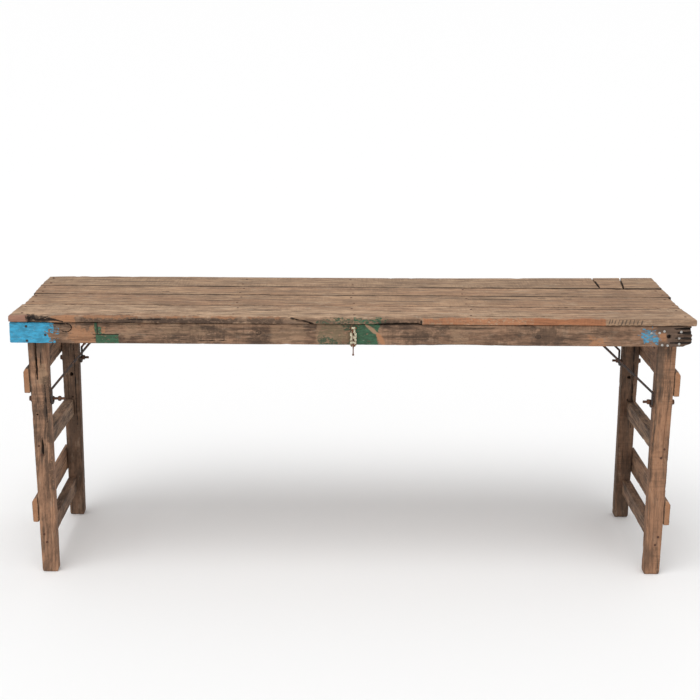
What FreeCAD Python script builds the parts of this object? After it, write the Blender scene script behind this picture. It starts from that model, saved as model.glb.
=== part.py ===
"""Folding trestle table: a plank top on a long framed apron, carried by two leg frames.

Each leg frame hinges on an iron rod through the apron and swings inward under the top.
Four iron braces hang from the apron and hook under a bolt in each leg, inside its nut.
X runs along the table, Y from its front to its back, Z up from the floor.
The origin is on the floor under the middle of the top.
"""
import FreeCAD, Part
import math
import os
import re
import Sketcher
from FreeCAD import Placement, Rotation, Vector

SIZES = [
    # the top
    ("top_length", 1900, "longest plank, end to end"),
    ("top_depth", 580, "front edge to back edge"),
    ("table_height", 765, "floor to the planks' upper face"),
    ("plank_thick", 20, "thickness of the planks"),
    ("plank_seam", 1.5, "gap between neighbouring planks"),
    ("front_plank_wide", 155, "width of the front plank"),
    ("mid_front_wide", 149, "width of the second plank"),
    ("mid_back_wide", 121, "width of the third plank"),
    ("end_step", 11, "how far the shorter planks stop before the longest one"),
    ("end_slant", 7, "how far a sawn plank end runs out of square"),
    ("patch_start", 753, "seam where the long back plank stops, from the middle"),
    ("patch_wide", 72, "length of the short piece let into the back plank"),
    ("patch_slant", 16, "slant of the seam after the short piece"),
    # the apron under the planks
    ("apron_high", 60, "height of the long rails and of the end rails"),
    ("apron_thick", 25, "thickness of the long rails"),
    ("apron_setback", 6, "planks' overhang in front of the long rails"),
    ("apron_short_left", 1, "long rails' left ends stop this far inside the planks"),
    ("apron_short_right", 10, "long rails' right ends stop this far inside the planks"),
    ("apron_break", 14, "broken lower corner of the front rail, along the rail"),
    ("apron_break_high", 8.4, "height of that broken corner"),
    ("end_rail_thick", 22, "thickness of the end rails"),
    ("end_rail_gap", 7, "space between a leg's rounded top and the end rail"),
    ("inlay_long", 63, "length of the piece let into the front rail"),
    ("inlay_high", 34, "height of the piece let into the front rail"),
    ("inlay_deep", 12, "depth of the piece let into the front rail"),
    ("inlay_fit", 0.5, "space round the let-in piece"),
    ("inlay_from_end", 243, "start of the let-in piece, from the planks' left end"),
    ("batten_thick", 18, "thickness of the bearers under the planks"),
    ("batten_wide", 45, "width of the bearers under the planks"),
    ("batten_from_middle", 330, "outer bearers, from the middle"),
    # the leg frames
    ("pivot_inset", 75, "leg pivot, from the planks' end"),
    ("pivot_radius", 6, "radius of the rod that each frame turns on"),
    ("pivot_recess", 8, "rod's ends stop this far inside the rails' faces"),
    ("pivot_end_play", 0.5, "space past the left rod's end in its blind hole"),
    ("pivot_fit", 0.08, "radial clearance round the pivot rod"),
    ("leg_wide", 56, "leg's width along the table at its top"),
    ("leg_foot_wide", 46, "leg's width along the table at its foot"),
    ("leg_thick", 38, "leg's thickness across the table"),
    ("leg_side_gap", 1, "space between a leg and the long rail beside it"),
    ("leg_head_gap", 2, "space between a leg's round top and the planks"),
    ("foot_round", 7, "worn corners of the feet"),
    ("outer_rail_thick", 18, "thickness of the rails nailed on the legs' outer faces"),
    ("upper_rail_high", 74, "height of the upper outer rail"),
    ("upper_rail_top", 107, "upper outer rail's top edge, below the pivot"),
    ("lower_rail_high", 75, "height of the lower outer rail"),
    ("lower_rail_top", 490, "lower outer rail's top edge, below the pivot"),
    ("rail_bevel", 9, "bevel on the outer rails' upper outer edge"),
    ("rail_bevel_high", 14.4, "height of that bevel"),
    ("mid_rail_high", 52, "height of the middle rail"),
    ("mid_rail_thick", 30, "thickness of the middle rail"),
    ("mid_rail_top", 322, "middle rail's top edge, below the pivot"),
    ("low_rail_high", 48, "height of the lowest rail"),
    ("low_rail_thick", 27, "thickness of the lowest rail"),
    ("low_rail_top", 588, "lowest rail's top edge, below the pivot"),
    ("old_hole_radius", 6, "old blind hole in the inner face of each back leg"),
    ("old_hole_deep", 24, "depth of that hole"),
    ("old_hole_drop", 250, "that hole, below the pivot"),
    # the leg bolts and their nuts
    ("bolt_drop", 200, "leg bolts, below the pivot"),
    ("bolt_radius", 4, "radius of the leg bolts"),
    ("bolt_head_thick", 6, "thickness of a bolt's head"),
    ("hex_corner", 7.5, "radius over the corners of heads and nuts"),
    ("nut_thick", 8, "thickness of a nut"),
    ("nut_fit", 0.08, "radial clearance between nut and bolt"),
    ("bolt_fit", 0.05, "radial clearance between bolt and leg"),
    ("washer_radius", 11, "radius of the washers under the bolt heads"),
    ("washer_thick", 2, "thickness of those washers"),
    ("nut_backs_off", 10, "travel of a nut towards the bolt's end"),
    ("nut_end_spare", 2, "thread left beyond a nut at the end of its travel"),
    ("loose_nut_gap", 12, "gap behind the nut on the left front leg, which is undone"),
    # the braces
    ("brace_radius", 3.25, "radius of the brace rods"),
    ("hook_radius", 13.5, "radius of the hook's bend round the bolt"),
    ("hook_rise", 30, "hook's straight shank, above the bolt"),
    ("hook_gap", 0.6, "space between hook and leg, and between hook and nut"),
    ("brace_run_left", 185, "left braces' upper pivots, from the leg pivot"),
    ("brace_run_right", 230, "right braces' upper pivots, from the leg pivot"),
    ("brace_above", 17, "braces' upper pivots, above the leg pivot"),
    ("eye_radius", 7.5, "radius of the brace's eye, to the middle of the rod"),
    ("eye_fit", 0.3, "space between the eye and its screw"),
    ("screw_bite", 12, "how deep a brace screw goes into the long rail"),
    ("screw_head_radius", 8, "radius of a brace screw's head"),
    ("screw_head_thick", 3.5, "thickness of a brace screw's head"),
    # nails
    ("nail_radius", 1.6, "radius of a nail's shank"),
    ("nail_head_radius", 3.4, "radius of a nail's head"),
    ("nail_head_thick", 1.6, "thickness of a nail's head"),
    ("nail_proud", 0.5, "how far a nail's head stands out"),
    ("top_nail_proud", 0, "the same on the planks, where the heads are worn flush"),
    ("apron_nail_long", 20, "nails in the front rail"),
    ("top_nail_long", 34, "nails through the planks"),
    ("frame_nail_long", 40, "nails through the outer rails into the legs"),
    ("leg_nail_long", 56, "nails through the legs into the rails between them"),
    # the hasp in the middle of the front rail
    ("staple_radius", 1.75, "radius of the staple's wire"),
    ("staple_half", 7.5, "half the staple's width, to the middle of the wire"),
    ("staple_reach", 8, "staple's bar, in front of the rail"),
    ("staple_drop", 10, "staple's bar, below the planks"),
    ("staple_bite", 15, "how deep the staple's legs go into the rail"),
    ("strap_wide", 18, "width of the hasp's strap"),
    ("strap_neck", 10, "width of the strap where it rolls round the staple"),
    ("strap_thick", 3, "thickness of the strap"),
    ("strap_neck_long", 9, "neck's length below the staple's bar"),
    ("strap_shoulder", 4, "height of the slope between neck and strap, and of the end's corners"),
    ("strap_notch_drop", 28, "notch in the strap's edge, below the staple's bar"),
    ("strap_notch_half", 3, "half the notch's height"),
    ("strap_notch_deep", 2, "depth of the notch"),
    ("strap_long", 52, "strap's length below the staple's bar"),
    ("strap_hole", 3.2, "radius of the hole near the strap's end"),
    ("strap_hole_rise", 7, "that hole, above the strap's end"),
    ("slot_long", 9, "length of the strap's slots"),
    ("slot_wide", 6, "width of the strap's slots"),
    ("upper_slot_drop", 17, "upper slot's middle, below the staple's bar"),
    ("lower_slot_drop", 33, "lower slot's middle, below the staple's bar"),
    ("wire_radius", 1.5, "radius of the wire that hangs from the strap"),
    ("wire_ring", 5.5, "radius of the wire's ring"),
    ("wire_ring_wide", 3.6, "width of the ring, which is hammered flat"),
    ("wire_tail", 18, "length of the wire's tail"),
]

doc = FreeCAD.newDocument("folding_table")
sheet = doc.addObject("Spreadsheet::Sheet", "Sizes")
for row, (alias, value, meaning) in enumerate(SIZES, start=1):
    sheet.set(f"A{row}", alias)
    sheet.set(f"B{row}", str(value))
    sheet.setAlias(f"B{row}", alias)
    sheet.set(f"C{row}", meaning)
doc.recompute()

size = {alias: float(getattr(sheet, alias)) for alias, value, meaning in SIZES}
WORDS = re.compile(r"\b(" + "|".join(alias for alias, value, meaning in SIZES) + r")\b")
SIDES = (("left", -1), ("right", 1))
FACES = (("front", -1), ("back", 1))
parts = []  # the sub-parts, in the order in which they are written

# ---- places that several pieces share, as formulas in the sheet's words ----
PLANK_UNDER = "(table_height - plank_thick)"
APRON_MID_Z = f"({PLANK_UNDER} - apron_high / 2)"
PIVOT_Z = f"({PLANK_UNDER} - leg_wide / 2 - leg_head_gap)"
PIVOT_X = "(top_length / 2 - pivot_inset)"
APRON_OUT_Y = "(top_depth / 2 - apron_setback)"
APRON_IN_Y = f"({APRON_OUT_Y} - apron_thick)"
LEG_Y = f"({APRON_IN_Y} - leg_side_gap - leg_thick / 2)"
BETWEEN_LEGS = f"(2 * {LEG_Y} - leg_thick)"
OVER_LEGS = f"(2 * {LEG_Y} + leg_thick)"
LEG_OUT_X = f"({PIVOT_X} + leg_wide / 2)"
TAPER = f"((leg_wide - leg_foot_wide) / ({PIVOT_Z} - foot_round))"
# the legs' inner face at the top of the hooks, where it stands furthest in
HOOK_FACE = f"(leg_wide / 2 - {TAPER} * (bolt_drop - hook_rise - brace_radius))"
BOLT_Z = f"({PIVOT_Z} - bolt_drop)"
END_RAIL_X = f"({LEG_OUT_X} + end_rail_gap + end_rail_thick / 2)"
NUT_START = "(2 * brace_radius + 2 * hook_gap)"
STAPLE_Y = f"({APRON_OUT_Y} + staple_reach)"
STAPLE_Z = f"({PLANK_UNDER} - staple_drop)"
BATTEN_Z = f"({PLANK_UNDER} - batten_thick / 2)"
PLANK_ROWS = ["front_plank_wide", "mid_front_wide", "mid_back_wide"]


def bound(formula):
    """The formula with each of the sheet's words made a reference to its cell."""
    return WORDS.sub(r"Sizes.\1", formula)


def bind(thing, **formulas):
    """Bind properties of an object to formulas."""
    for name, formula in formulas.items():
        thing.setExpression(name, bound(formula))


def place(thing, x="0", y="0", z="0", turn=None):
    """Put an object at a place given by formulas, turned by a fixed rotation."""
    if turn is not None:
        thing.Placement = Placement(Vector(), turn)
    for axis, formula in (("x", x), ("y", y), ("z", z)):
        thing.setExpression(f"Placement.Base.{axis}", bound(formula))
    return thing


def keep(thing, label):
    """Name a finished sub-part and list it for writing."""
    thing.Label = label
    parts.append(thing)
    return thing


def plane(body, role):
    """One of a body's own origin planes."""
    return next(item for item in body.Origin.OriginFeatures if item.Role == role)


def new_sketch(body, role):
    sketch = body.newObject("Sketcher::SketchObject", "Sketch")
    sketch.AttachmentSupport = [(plane(body, role), "")]
    sketch.MapMode = "FlatFace"
    return sketch


def fix_point(sketch, geometry, end, across, up):
    """Hold a point at formulas measured from the sketch's origin."""
    for kind, formula in (("DistanceX", across), ("DistanceY", up)):
        index = sketch.addConstraint(Sketcher.Constraint(kind, -1, 1, geometry, end, 1.0))
        sketch.setExpression(f"Constraints[{index}]", bound(formula))


def closed_outline(sketch, points):
    """A closed outline of straight edges through points given by formulas."""
    count = len(points)
    start = [
        Vector(math.cos(2 * math.pi * k / count), math.sin(2 * math.pi * k / count), 0) * 100
        for k in range(count)
    ]
    lines = [
        sketch.addGeometry(Part.LineSegment(start[k], start[(k + 1) % count]))
        for k in range(count)
    ]
    for k, line in enumerate(lines):
        sketch.addConstraint(Sketcher.Constraint("Coincident", line, 2, lines[(k + 1) % count], 1))
    for line, (across, up) in zip(lines, points):
        fix_point(sketch, line, 1, across, up)


def pad(body, sketch, thickness, both_ways=True):
    feature = body.newObject("PartDesign::Pad", "Pad")
    feature.Profile = sketch
    feature.SideType = "Symmetric" if both_ways else "One side"
    bind(feature, Length=thickness)
    body.Tip = feature
    return feature


def board(role, points, thickness, both_ways=True):
    """A body sawn to an outline on one of its origin planes."""
    body = doc.addObject("PartDesign::Body", "Board")
    sketch = new_sketch(body, role)
    closed_outline(sketch, points)
    pad(body, sketch, thickness, both_ways)
    return body


def drill(body, role, across, up, radius):
    """A round hole right through a body, square to one of its origin planes."""
    doc.recompute()
    before = body.Shape.Volume
    sketch = new_sketch(body, role)
    circle = sketch.addGeometry(Part.Circle(Vector(0, 0, 0), Vector(0, 0, 1), 5))
    fix_point(sketch, circle, 3, across, up)
    index = sketch.addConstraint(Sketcher.Constraint("Radius", circle, 5.0))
    sketch.setExpression(f"Constraints[{index}]", bound(radius))
    pocket = body.newObject("PartDesign::Pocket", "Hole")
    pocket.Profile = sketch
    pocket.Type = "ThroughAll"
    pocket.SideType = "Symmetric"
    body.Tip = pocket
    doc.recompute()
    if body.Shape.Volume >= before:
        raise RuntimeError(f"a hole in {body.Label} cuts nothing")


def box(long, deep, high):
    """A block whose middle is put at its place by block_at."""
    block = doc.addObject("Part::Box", "Block")
    bind(block, Length=long, Width=deep, Height=high)
    return block, (long, deep, high)


def block_at(block, x="0", y="0", z="0"):
    """Put a block's middle at a place."""
    thing, extents = block
    middle = [f"({where}) - ({extent}) / 2" for where, extent in zip((x, y, z), extents)]
    return place(thing, *middle)


def rod(radius, length, x, y, z, along):
    """A round bar from a place, running along a direction."""
    bar = doc.addObject("Part::Cylinder", "Rod")
    bind(bar, Radius=radius, Height=length)
    return place(bar, x, y, z, Rotation(Vector(0, 0, 1), Vector(*along)))


def hexagon(height, x, y, z, along):
    """A six-sided nut or bolt head from a place, running along a direction."""
    prism = doc.addObject("Part::Prism", "Hexagon")
    prism.Polygon = 6
    bind(prism, Circumradius="hex_corner", Height=height)
    return place(prism, x, y, z, Rotation(Vector(0, 0, 1), Vector(*along)))


def fused(pieces):
    union = doc.addObject("Part::MultiFuse", "Fused")
    union.Shapes = pieces
    union.Refine = False
    return union


def cut(base, tool):
    difference = doc.addObject("Part::Cut", "Cut")
    difference.Base = base
    difference.Tool = tool
    return difference


def group(pieces):
    """Separate solids that share one sub-part."""
    compound = doc.addObject("Part::Compound", "Group")
    compound.Links = pieces
    return compound


def nail(length, x, y, z, into, proud="nail_proud"):
    """A nail whose head stands a little proud of the face at a place, driven along a direction."""
    def back(where, step, amount):
        return f"({where}) - ({step}) * ({amount})"
    head_at = [back(where, step, proud) for where, step in zip((x, y, z), into)]
    shank_at = [
        back(where, step, f"{proud} - nail_head_thick") for where, step in zip((x, y, z), into)
    ]
    head = rod("nail_head_radius", "nail_head_thick", *head_at, into)
    shank = rod("nail_radius", length, *shank_at, into)
    return fused([head, shank])


# ---- planks ----
def plank(label, row, left, right):
    """One plank of a row; left and right are its ends as (front corner, back corner)."""
    start = " + ".join(["0"] + [f"{wide} + plank_seam" for wide in PLANK_ROWS[:row]])
    last = "top_depth" if row == len(PLANK_ROWS) else f"{start} + {PLANK_ROWS[row]}"
    front = f"({start}) - top_depth / 2"
    back = f"({last}) - top_depth / 2"
    points = [(left[0], front), (right[0], front), (right[1], back), (left[1], back)]
    body = board("XY_Plane", points, "plank_thick", both_ways=False)
    place(body, z=PLANK_UNDER)
    return keep(body, label)


HALF = "top_length / 2"
PATCH_END = "patch_start + patch_wide"
plank("plank_front", 0, (f"-({HALF})", f"end_slant - {HALF}"), (HALF, f"{HALF} - end_step"))
plank("plank_mid_front", 1,
      (f"end_slant - {HALF}", f"end_step - {HALF}"),
      (f"{HALF} - end_slant", f"{HALF} - end_step"))
plank("plank_mid_back", 2,
      (f"end_step - {HALF}", f"end_slant - {HALF}"),
      (f"{HALF} - end_slant", f"{HALF} - end_slant / 2"))
plank("plank_back", 3,
      (f"end_slant - {HALF}", f"end_slant / 2 - {HALF}"),
      ("patch_start", "patch_start"))
plank("plank_back_patch", 3,
      ("patch_start + plank_seam", "patch_start + plank_seam"),
      (PATCH_END, f"{PATCH_END} + patch_slant"))
plank("plank_back_end", 3,
      (f"{PATCH_END} + plank_seam", f"{PATCH_END} + patch_slant + plank_seam"),
      (f"{HALF} - end_slant / 2", f"{HALF} - end_slant"))


# ---- apron ----
def long_rail(face, broken, drilled):
    """A long rail, a share of its right lower corner broken off, drilled for the pivot rods."""
    left_end = "(apron_short_left - top_length / 2)"
    right_end = "(top_length / 2 - apron_short_right)"
    high = "apron_high / 2"
    points = [
        (left_end, f"-{high}"),
        (f"{right_end} - {broken} * apron_break", f"-{high}"),
        (right_end, f"{broken} * apron_break_high - {high}"),
        (right_end, high),
        (left_end, high),
    ]
    body = board("XZ_Plane", points, "apron_thick")
    place(body, y=f"{face} * ({APRON_OUT_Y} - apron_thick / 2)", z=APRON_MID_Z)
    for side in drilled:
        drill(body, "XZ_Plane", f"{side} * {PIVOT_X}", f"{PIVOT_Z} - {APRON_MID_Z}",
              "pivot_radius + pivot_fit")
    return body


# the left rod's hole in the front rail is blind, so that the rail's painted face is whole
front_rail = long_rail(-1, 1, (1,))
blind_start = f"pivot_recess - {APRON_OUT_Y}"
blind_hole = rod("pivot_radius + pivot_fit", "apron_thick", f"-{PIVOT_X}", blind_start, PIVOT_Z,
                 (0, 1, 0))
INLAY_X = f"(inlay_from_end + inlay_long / 2 - {HALF})"
INLAY_Z = f"({PLANK_UNDER} - inlay_high / 2)"
INLAY_Y = f"-({APRON_OUT_Y} - inlay_deep / 2)"
inlay_place = {"x": INLAY_X, "y": INLAY_Y, "z": INLAY_Z}
inlay_hole = block_at(box("inlay_long", "inlay_deep", "inlay_high"), **inlay_place)
inlay_piece = block_at(box("inlay_long - 2 * inlay_fit", "inlay_deep", "inlay_high - 2 * inlay_fit"),
                       **inlay_place)
keep(cut(cut(front_rail, inlay_hole), blind_hole), "rail_front")
keep(inlay_piece, "rail_inlay")
keep(long_rail(1, 0.5, (-1, 1)), "rail_back")
for name, side in SIDES:
    end_rail = box("end_rail_thick", f"2 * {APRON_IN_Y}", "apron_high")
    keep(block_at(end_rail, x=f"{side} * {END_RAIL_X}", z=APRON_MID_Z), f"end_rail_{name}")
for name, step in (("left", -1), ("middle", 0), ("right", 1)):
    batten = box("batten_wide", f"2 * {APRON_IN_Y}", "batten_thick")
    keep(block_at(batten, x=f"{step} * batten_from_middle", z=BATTEN_Z), f"batten_{name}")
for name, side in SIDES:
    pivot_long = f"2 * ({APRON_OUT_Y} - pivot_recess - pivot_end_play)"
    start_y = f"pivot_recess + pivot_end_play - {APRON_OUT_Y}"
    pivot = rod("pivot_radius", pivot_long, f"{side} * {PIVOT_X}", start_y, PIVOT_Z, (0, 1, 0))
    keep(pivot, f"pivot_rod_{name}")


# ---- leg frames ----
def leg(label, side, face):
    """A leg in its pivot's frame: round at the top, tapered on the inner edge, worn at the foot."""
    body = doc.addObject("PartDesign::Body", "Leg")
    sketch = new_sketch(body, "XZ_Plane")
    centre = Vector(0, 0, 0)
    circle = Part.Circle(centre, Vector(0, 0, 1), 28)
    arc = sketch.addGeometry(Part.ArcOfCircle(circle, 0, math.pi))
    sketch.addConstraint(Sketcher.Constraint("Coincident", arc, 3, -1, 1))
    index = sketch.addConstraint(Sketcher.Constraint("Radius", arc, 28.0))
    sketch.setExpression(f"Constraints[{index}]", bound("leg_wide / 2"))
    for end in (1, 2):
        sketch.addConstraint(Sketcher.Constraint("PointOnObject", arc, end, -1))
    # outward is the +X side on a right leg and the -X side on a left one
    outer_end, inner_end = (1, 2) if side > 0 else (2, 1)
    foot_in = f"{side} * (leg_wide / 2 - leg_foot_wide)"
    foot_in_worn = f"{side} * (leg_wide / 2 - leg_foot_wide + foot_round)"
    foot_out_worn = f"{side} * (leg_wide / 2 - foot_round)"
    points = [
        (f"{side} * leg_wide / 2", f"foot_round - {PIVOT_Z}"),
        (foot_out_worn, f"-{PIVOT_Z}"),
        (foot_in_worn, f"-{PIVOT_Z}"),
        (foot_in, f"foot_round - {PIVOT_Z}"),
    ]
    rough = [Vector(side * x, y, 0) for x, y in ((28, 0), (28, -90), (20, -99), (-11, -99),
                                                 (-18, -90), (-28, 0))]
    lines = [
        sketch.addGeometry(Part.LineSegment(first, second))
        for first, second in zip(rough, rough[1:])
    ]
    sketch.addConstraint(Sketcher.Constraint("Coincident", arc, outer_end, lines[0], 1))
    for first, second in zip(lines, lines[1:]):
        sketch.addConstraint(Sketcher.Constraint("Coincident", first, 2, second, 1))
    sketch.addConstraint(Sketcher.Constraint("Coincident", lines[-1], 2, arc, inner_end))
    for line, (across, up) in zip(lines[1:], points):
        fix_point(sketch, line, 1, across, up)
    pad(body, sketch, "leg_thick")
    drill(body, "XZ_Plane", "0", "0", "pivot_radius + pivot_fit")
    drill(body, "YZ_Plane", "0", "-bolt_drop", "bolt_radius + bolt_fit")
    place(body, f"{side} * {PIVOT_X}", f"{face} * {LEG_Y}", PIVOT_Z)
    if face < 0:
        return keep(body, label)
    old_hole = rod("old_hole_radius", "2 * old_hole_deep", f"{side} * {PIVOT_X}",
                   f"{LEG_Y} - leg_thick / 2 - old_hole_deep", f"{PIVOT_Z} - old_hole_drop",
                   (0, 1, 0))
    return keep(cut(body, old_hole), label)


def outer_rail(label, side, top, high):
    """A rail nailed across both legs' outer faces, with a bevelled upper outer edge."""
    thick = "outer_rail_thick"
    points = [
        ("0", "0"),
        (f"{side} * {thick}", "0"),
        (f"{side} * {thick}", f"{high} - rail_bevel_high"),
        (f"{side} * ({thick} - rail_bevel)", high),
        ("0", high),
    ]
    body = board("XZ_Plane", points, OVER_LEGS)
    place(body, f"{side} * {LEG_OUT_X}", "0", f"{PIVOT_Z} - {top} - {high}")
    return keep(body, label)


def inner_rail(label, side, top, high, thick):
    """A rail between the legs, flush with their outer faces."""
    block = box(thick, BETWEEN_LEGS, high)
    x = f"{side} * ({LEG_OUT_X} - {thick} / 2)"
    return keep(block_at(block, x=x, z=f"{PIVOT_Z} - {top} - {high} / 2"), label)


def leg_bolt(label, side, face, tip):
    """A bolt through a leg along X, with its washer, its head outside and its tip inside."""
    y = f"{face} * {LEG_Y}"
    outward, inward = (side, 0, 0), (-side, 0, 0)
    washer = rod("washer_radius", "washer_thick", f"{side} * {LEG_OUT_X}", y, BOLT_Z, outward)
    head_x = f"{side} * ({LEG_OUT_X} + washer_thick)"
    head = hexagon("bolt_head_thick", head_x, y, BOLT_Z, outward)
    long = f"washer_thick + leg_wide / 2 + {HOOK_FACE} + {tip}"
    shank = rod("bolt_radius", long, head_x, y, BOLT_Z, inward)
    return keep(fused([washer, head, shank]), label)


def nut(label, side, face, start):
    """A nut on the inner end of a leg bolt."""
    x = f"{side} * ({PIVOT_X} - {HOOK_FACE} - {start})"
    y = f"{face} * {LEG_Y}"
    body = hexagon("nut_thick", x, y, BOLT_Z, (-side, 0, 0))
    thread = rod("bolt_radius + nut_fit", "nut_thick", x, y, BOLT_Z, (-side, 0, 0))
    return keep(cut(body, thread), label)


OUTER_RAILS = (("upper_rail_top", "upper_rail_high"), ("lower_rail_top", "lower_rail_high"))
INNER_RAILS = (("mid_rail_top", "mid_rail_high", "mid_rail_thick"),
               ("low_rail_top", "low_rail_high", "low_rail_thick"))
# nails at each crossing: share of the rail's height from its top, then millimetres along the rail
OUTER_NAILS = ((0.3, -6), (0.75, 7))
# nails at each rail's end: share of its height from the top, share of its thickness from outside
INNER_NAILS = ((0.25, 0.35), (0.75, 0.6))


def frame_nails(label, side):
    """Nails of one frame: through the outer rails, and through the legs into the inner rails."""
    nails = []
    for face_name, face in FACES:
        y = f"{face} * {LEG_Y}"
        for top, high in OUTER_RAILS:
            for share, shift in OUTER_NAILS:
                nails.append(nail("frame_nail_long",
                                  f"{side} * ({LEG_OUT_X} + outer_rail_thick)",
                                  f"{y} + {shift}",
                                  f"{PIVOT_Z} - {top} - {high} * {share}",
                                  (-side, 0, 0)))
        for top, high, thick in INNER_RAILS:
            for share, across in INNER_NAILS:
                nails.append(nail("leg_nail_long",
                                  f"{side} * ({LEG_OUT_X} - {thick} * {across})",
                                  f"{face} * ({LEG_Y} + leg_thick / 2)",
                                  f"{PIVOT_Z} - {top} - {high} * {share}",
                                  (0, -face, 0)))
    return keep(group(nails), label)


for name, side in SIDES:
    for face_name, face in FACES:
        leg(f"leg_{face_name}_{name}", side, face)
    outer_rail(f"outer_rail_upper_{name}", side, "upper_rail_top", "upper_rail_high")
    outer_rail(f"outer_rail_lower_{name}", side, "lower_rail_top", "lower_rail_high")
    inner_rail(f"mid_rail_{name}", side, "mid_rail_top", "mid_rail_high", "mid_rail_thick")
    inner_rail(f"low_rail_{name}", side, "low_rail_top", "low_rail_high", "low_rail_thick")
    frame_nails(f"frame_nails_{name}", side)
    for face_name, face in FACES:
        undone = "loose_nut_gap" if (name, face_name) == ("left", "front") else "0"
        nut_start = f"({NUT_START} + {undone})"
        tip = f"({nut_start} + nut_thick + nut_backs_off + nut_end_spare)"
        leg_bolt(f"leg_bolt_{face_name}_{name}", side, face, tip)
        nut(f"nut_{face_name}_{name}", side, face, nut_start)


# ---- braces ----
def ball(at, radius):
    return Part.makeSphere(radius, at)


def bar(first, second, radius):
    along = second - first
    return Part.makeCylinder(radius, along.Length, first, along)


def brace_shape(side, run):
    """An iron brace in its upper pivot's frame: eye, slanting rod, shank and open hook.

    The hook is half a ring round the leg bolt, open at the top, in a plane square to the bolt.
    """
    radius = size["brace_radius"]
    taper = (size["leg_wide"] - size["leg_foot_wide"]) / (pivot_z - size["foot_round"])
    hook_top = size["bolt_drop"] - size["hook_rise"] - radius
    hook_face = size["leg_wide"] / 2 - taper * hook_top
    out = side * (run - hook_face - size["hook_gap"] - radius)
    bolt_level = -size["brace_above"] - size["bolt_drop"]
    shank_top = Vector(out, 0, bolt_level + size["hook_rise"])
    shank_end = Vector(out, 0, bolt_level)
    slant = Vector(shank_top).normalize()
    eye = Part.makeTorus(size["eye_radius"], radius, Vector(), Vector(0, 1, 0))
    pieces = [
        bar(slant * size["eye_radius"], shank_top, radius),
        ball(shank_top, radius),
        bar(shank_top, shank_end, radius),
    ]
    bend_centre = Vector(out, size["hook_radius"], bolt_level)
    bend = Part.makeTorus(size["hook_radius"], radius, bend_centre, Vector(1, 0, 0))
    reach = 2 * (size["hook_radius"] + radius)
    lower = Part.makeBox(reach, reach, reach,
                         bend_centre - Vector(reach / 2, reach / 2, reach))
    pieces.append(bend.common(lower))
    pieces.append(ball(bend_centre + Vector(0, size["hook_radius"], 0), radius))
    return eye.fuse(pieces)


pivot_z = size["table_height"] - size["plank_thick"] - size["leg_wide"] / 2 - size["leg_head_gap"]
screws = []
for name, side in SIDES:
    run_word = f"brace_run_{name}"
    for face_name, face in FACES:
        shape = brace_shape(side, size[run_word])
        if face > 0:
            shape = shape.mirror(Vector(), Vector(0, 1, 0))
        brace = doc.addObject("Part::Feature", "Brace")
        brace.Shape = shape
        x = f"{side} * ({PIVOT_X} - {run_word})"
        z = f"{PIVOT_Z} + brace_above"
        eye_y = f"({LEG_Y} + hook_radius)"
        place(brace, x, f"{face} * {eye_y}", z)
        keep(brace, f"brace_{face_name}_{name}")
        # the screw's washer fills the space between rail and eye, less a little play
        inward = (0, -face, 0)
        wall = f"{face} * {APRON_IN_Y}"
        washer_long = f"({APRON_IN_Y} - {eye_y} - brace_radius - eye_fit)"
        head_y = f"{face} * ({eye_y} - brace_radius - eye_fit)"
        shank_long = f"screw_bite + {APRON_IN_Y} - {eye_y} + brace_radius + eye_fit"
        shank_radius = "eye_radius - brace_radius - eye_fit"
        screws.append(fused([
            rod(shank_radius, shank_long, x, f"{face} * ({APRON_IN_Y} + screw_bite)", z, inward),
            rod("screw_head_radius", washer_long, x, wall, z, inward),
            rod("screw_head_radius", "screw_head_thick", x, head_y, z, inward),
        ]))
keep(group(screws), "brace_screws")

# ---- nails of the top and of the front rail ----
ROW_STARTS = ["0", "front_plank_wide + plank_seam",
              "front_plank_wide + mid_front_wide + 2 * plank_seam",
              "front_plank_wide + mid_front_wide + mid_back_wide + 3 * plank_seam"]
ROW_WIDTHS = PLANK_ROWS + [f"(top_depth - ({ROW_STARTS[3]}))"]
BEARERS = [f"-{END_RAIL_X}", "-batten_from_middle", "0", "batten_from_middle", END_RAIL_X]
# two nails where a plank crosses a bearer: share of the plank's width, millimetres sideways
PLANK_NAILS = ((0.24, 3), (0.77, -4))
top_nails = []
for bearer, x in enumerate(BEARERS):
    for start, wide in zip(ROW_STARTS, ROW_WIDTHS):
        for share, shift in PLANK_NAILS:
            y = f"({start}) + {wide} * {share} - top_depth / 2"
            sideways = shift if bearer % 2 == 0 else -shift
            top_nails.append(nail("top_nail_long", f"{x} + {sideways}", y, "table_height",
                                  (0, 0, -1), "top_nail_proud"))
keep(group(top_nails), "top_nails")

# front rail's nails: side, millimetres in from the planks' end, share of the rail's height
FRONT_NAILS = [(-1, 48, 0.8), (-1, 49, 0.12), (-1, 100, 0.4), (1, 124, 0.65), (1, 102, 0.67),
               (1, 89, 0.75), (1, 93, 0.1), (1, 78, 0.08), (1, 47, 0.43), (1, 42, 0.73),
               (1, 46, 0.15)]
APRON_UNDER = f"({PLANK_UNDER} - apron_high)"
front_nails = [
    nail("apron_nail_long", f"{side} * ({HALF} - {inset})", f"-{APRON_OUT_Y}",
         f"{APRON_UNDER} + {share} * apron_high", (0, 1, 0))
    for side, inset, share in FRONT_NAILS
]
keep(group(front_nails), "apron_nails")

# ---- hasp ----
bar_start = "-(staple_half + staple_radius)"
staple = [rod("staple_radius", "2 * (staple_half + staple_radius)", bar_start,
              f"-{STAPLE_Y}", STAPLE_Z, (1, 0, 0))]
for name, side in SIDES:
    staple.append(rod("staple_radius", "staple_reach + staple_bite", f"{side} * staple_half",
                      f"-{STAPLE_Y}", STAPLE_Z, (0, 1, 0)))
keep(fused(staple), "hasp_staple")


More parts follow.
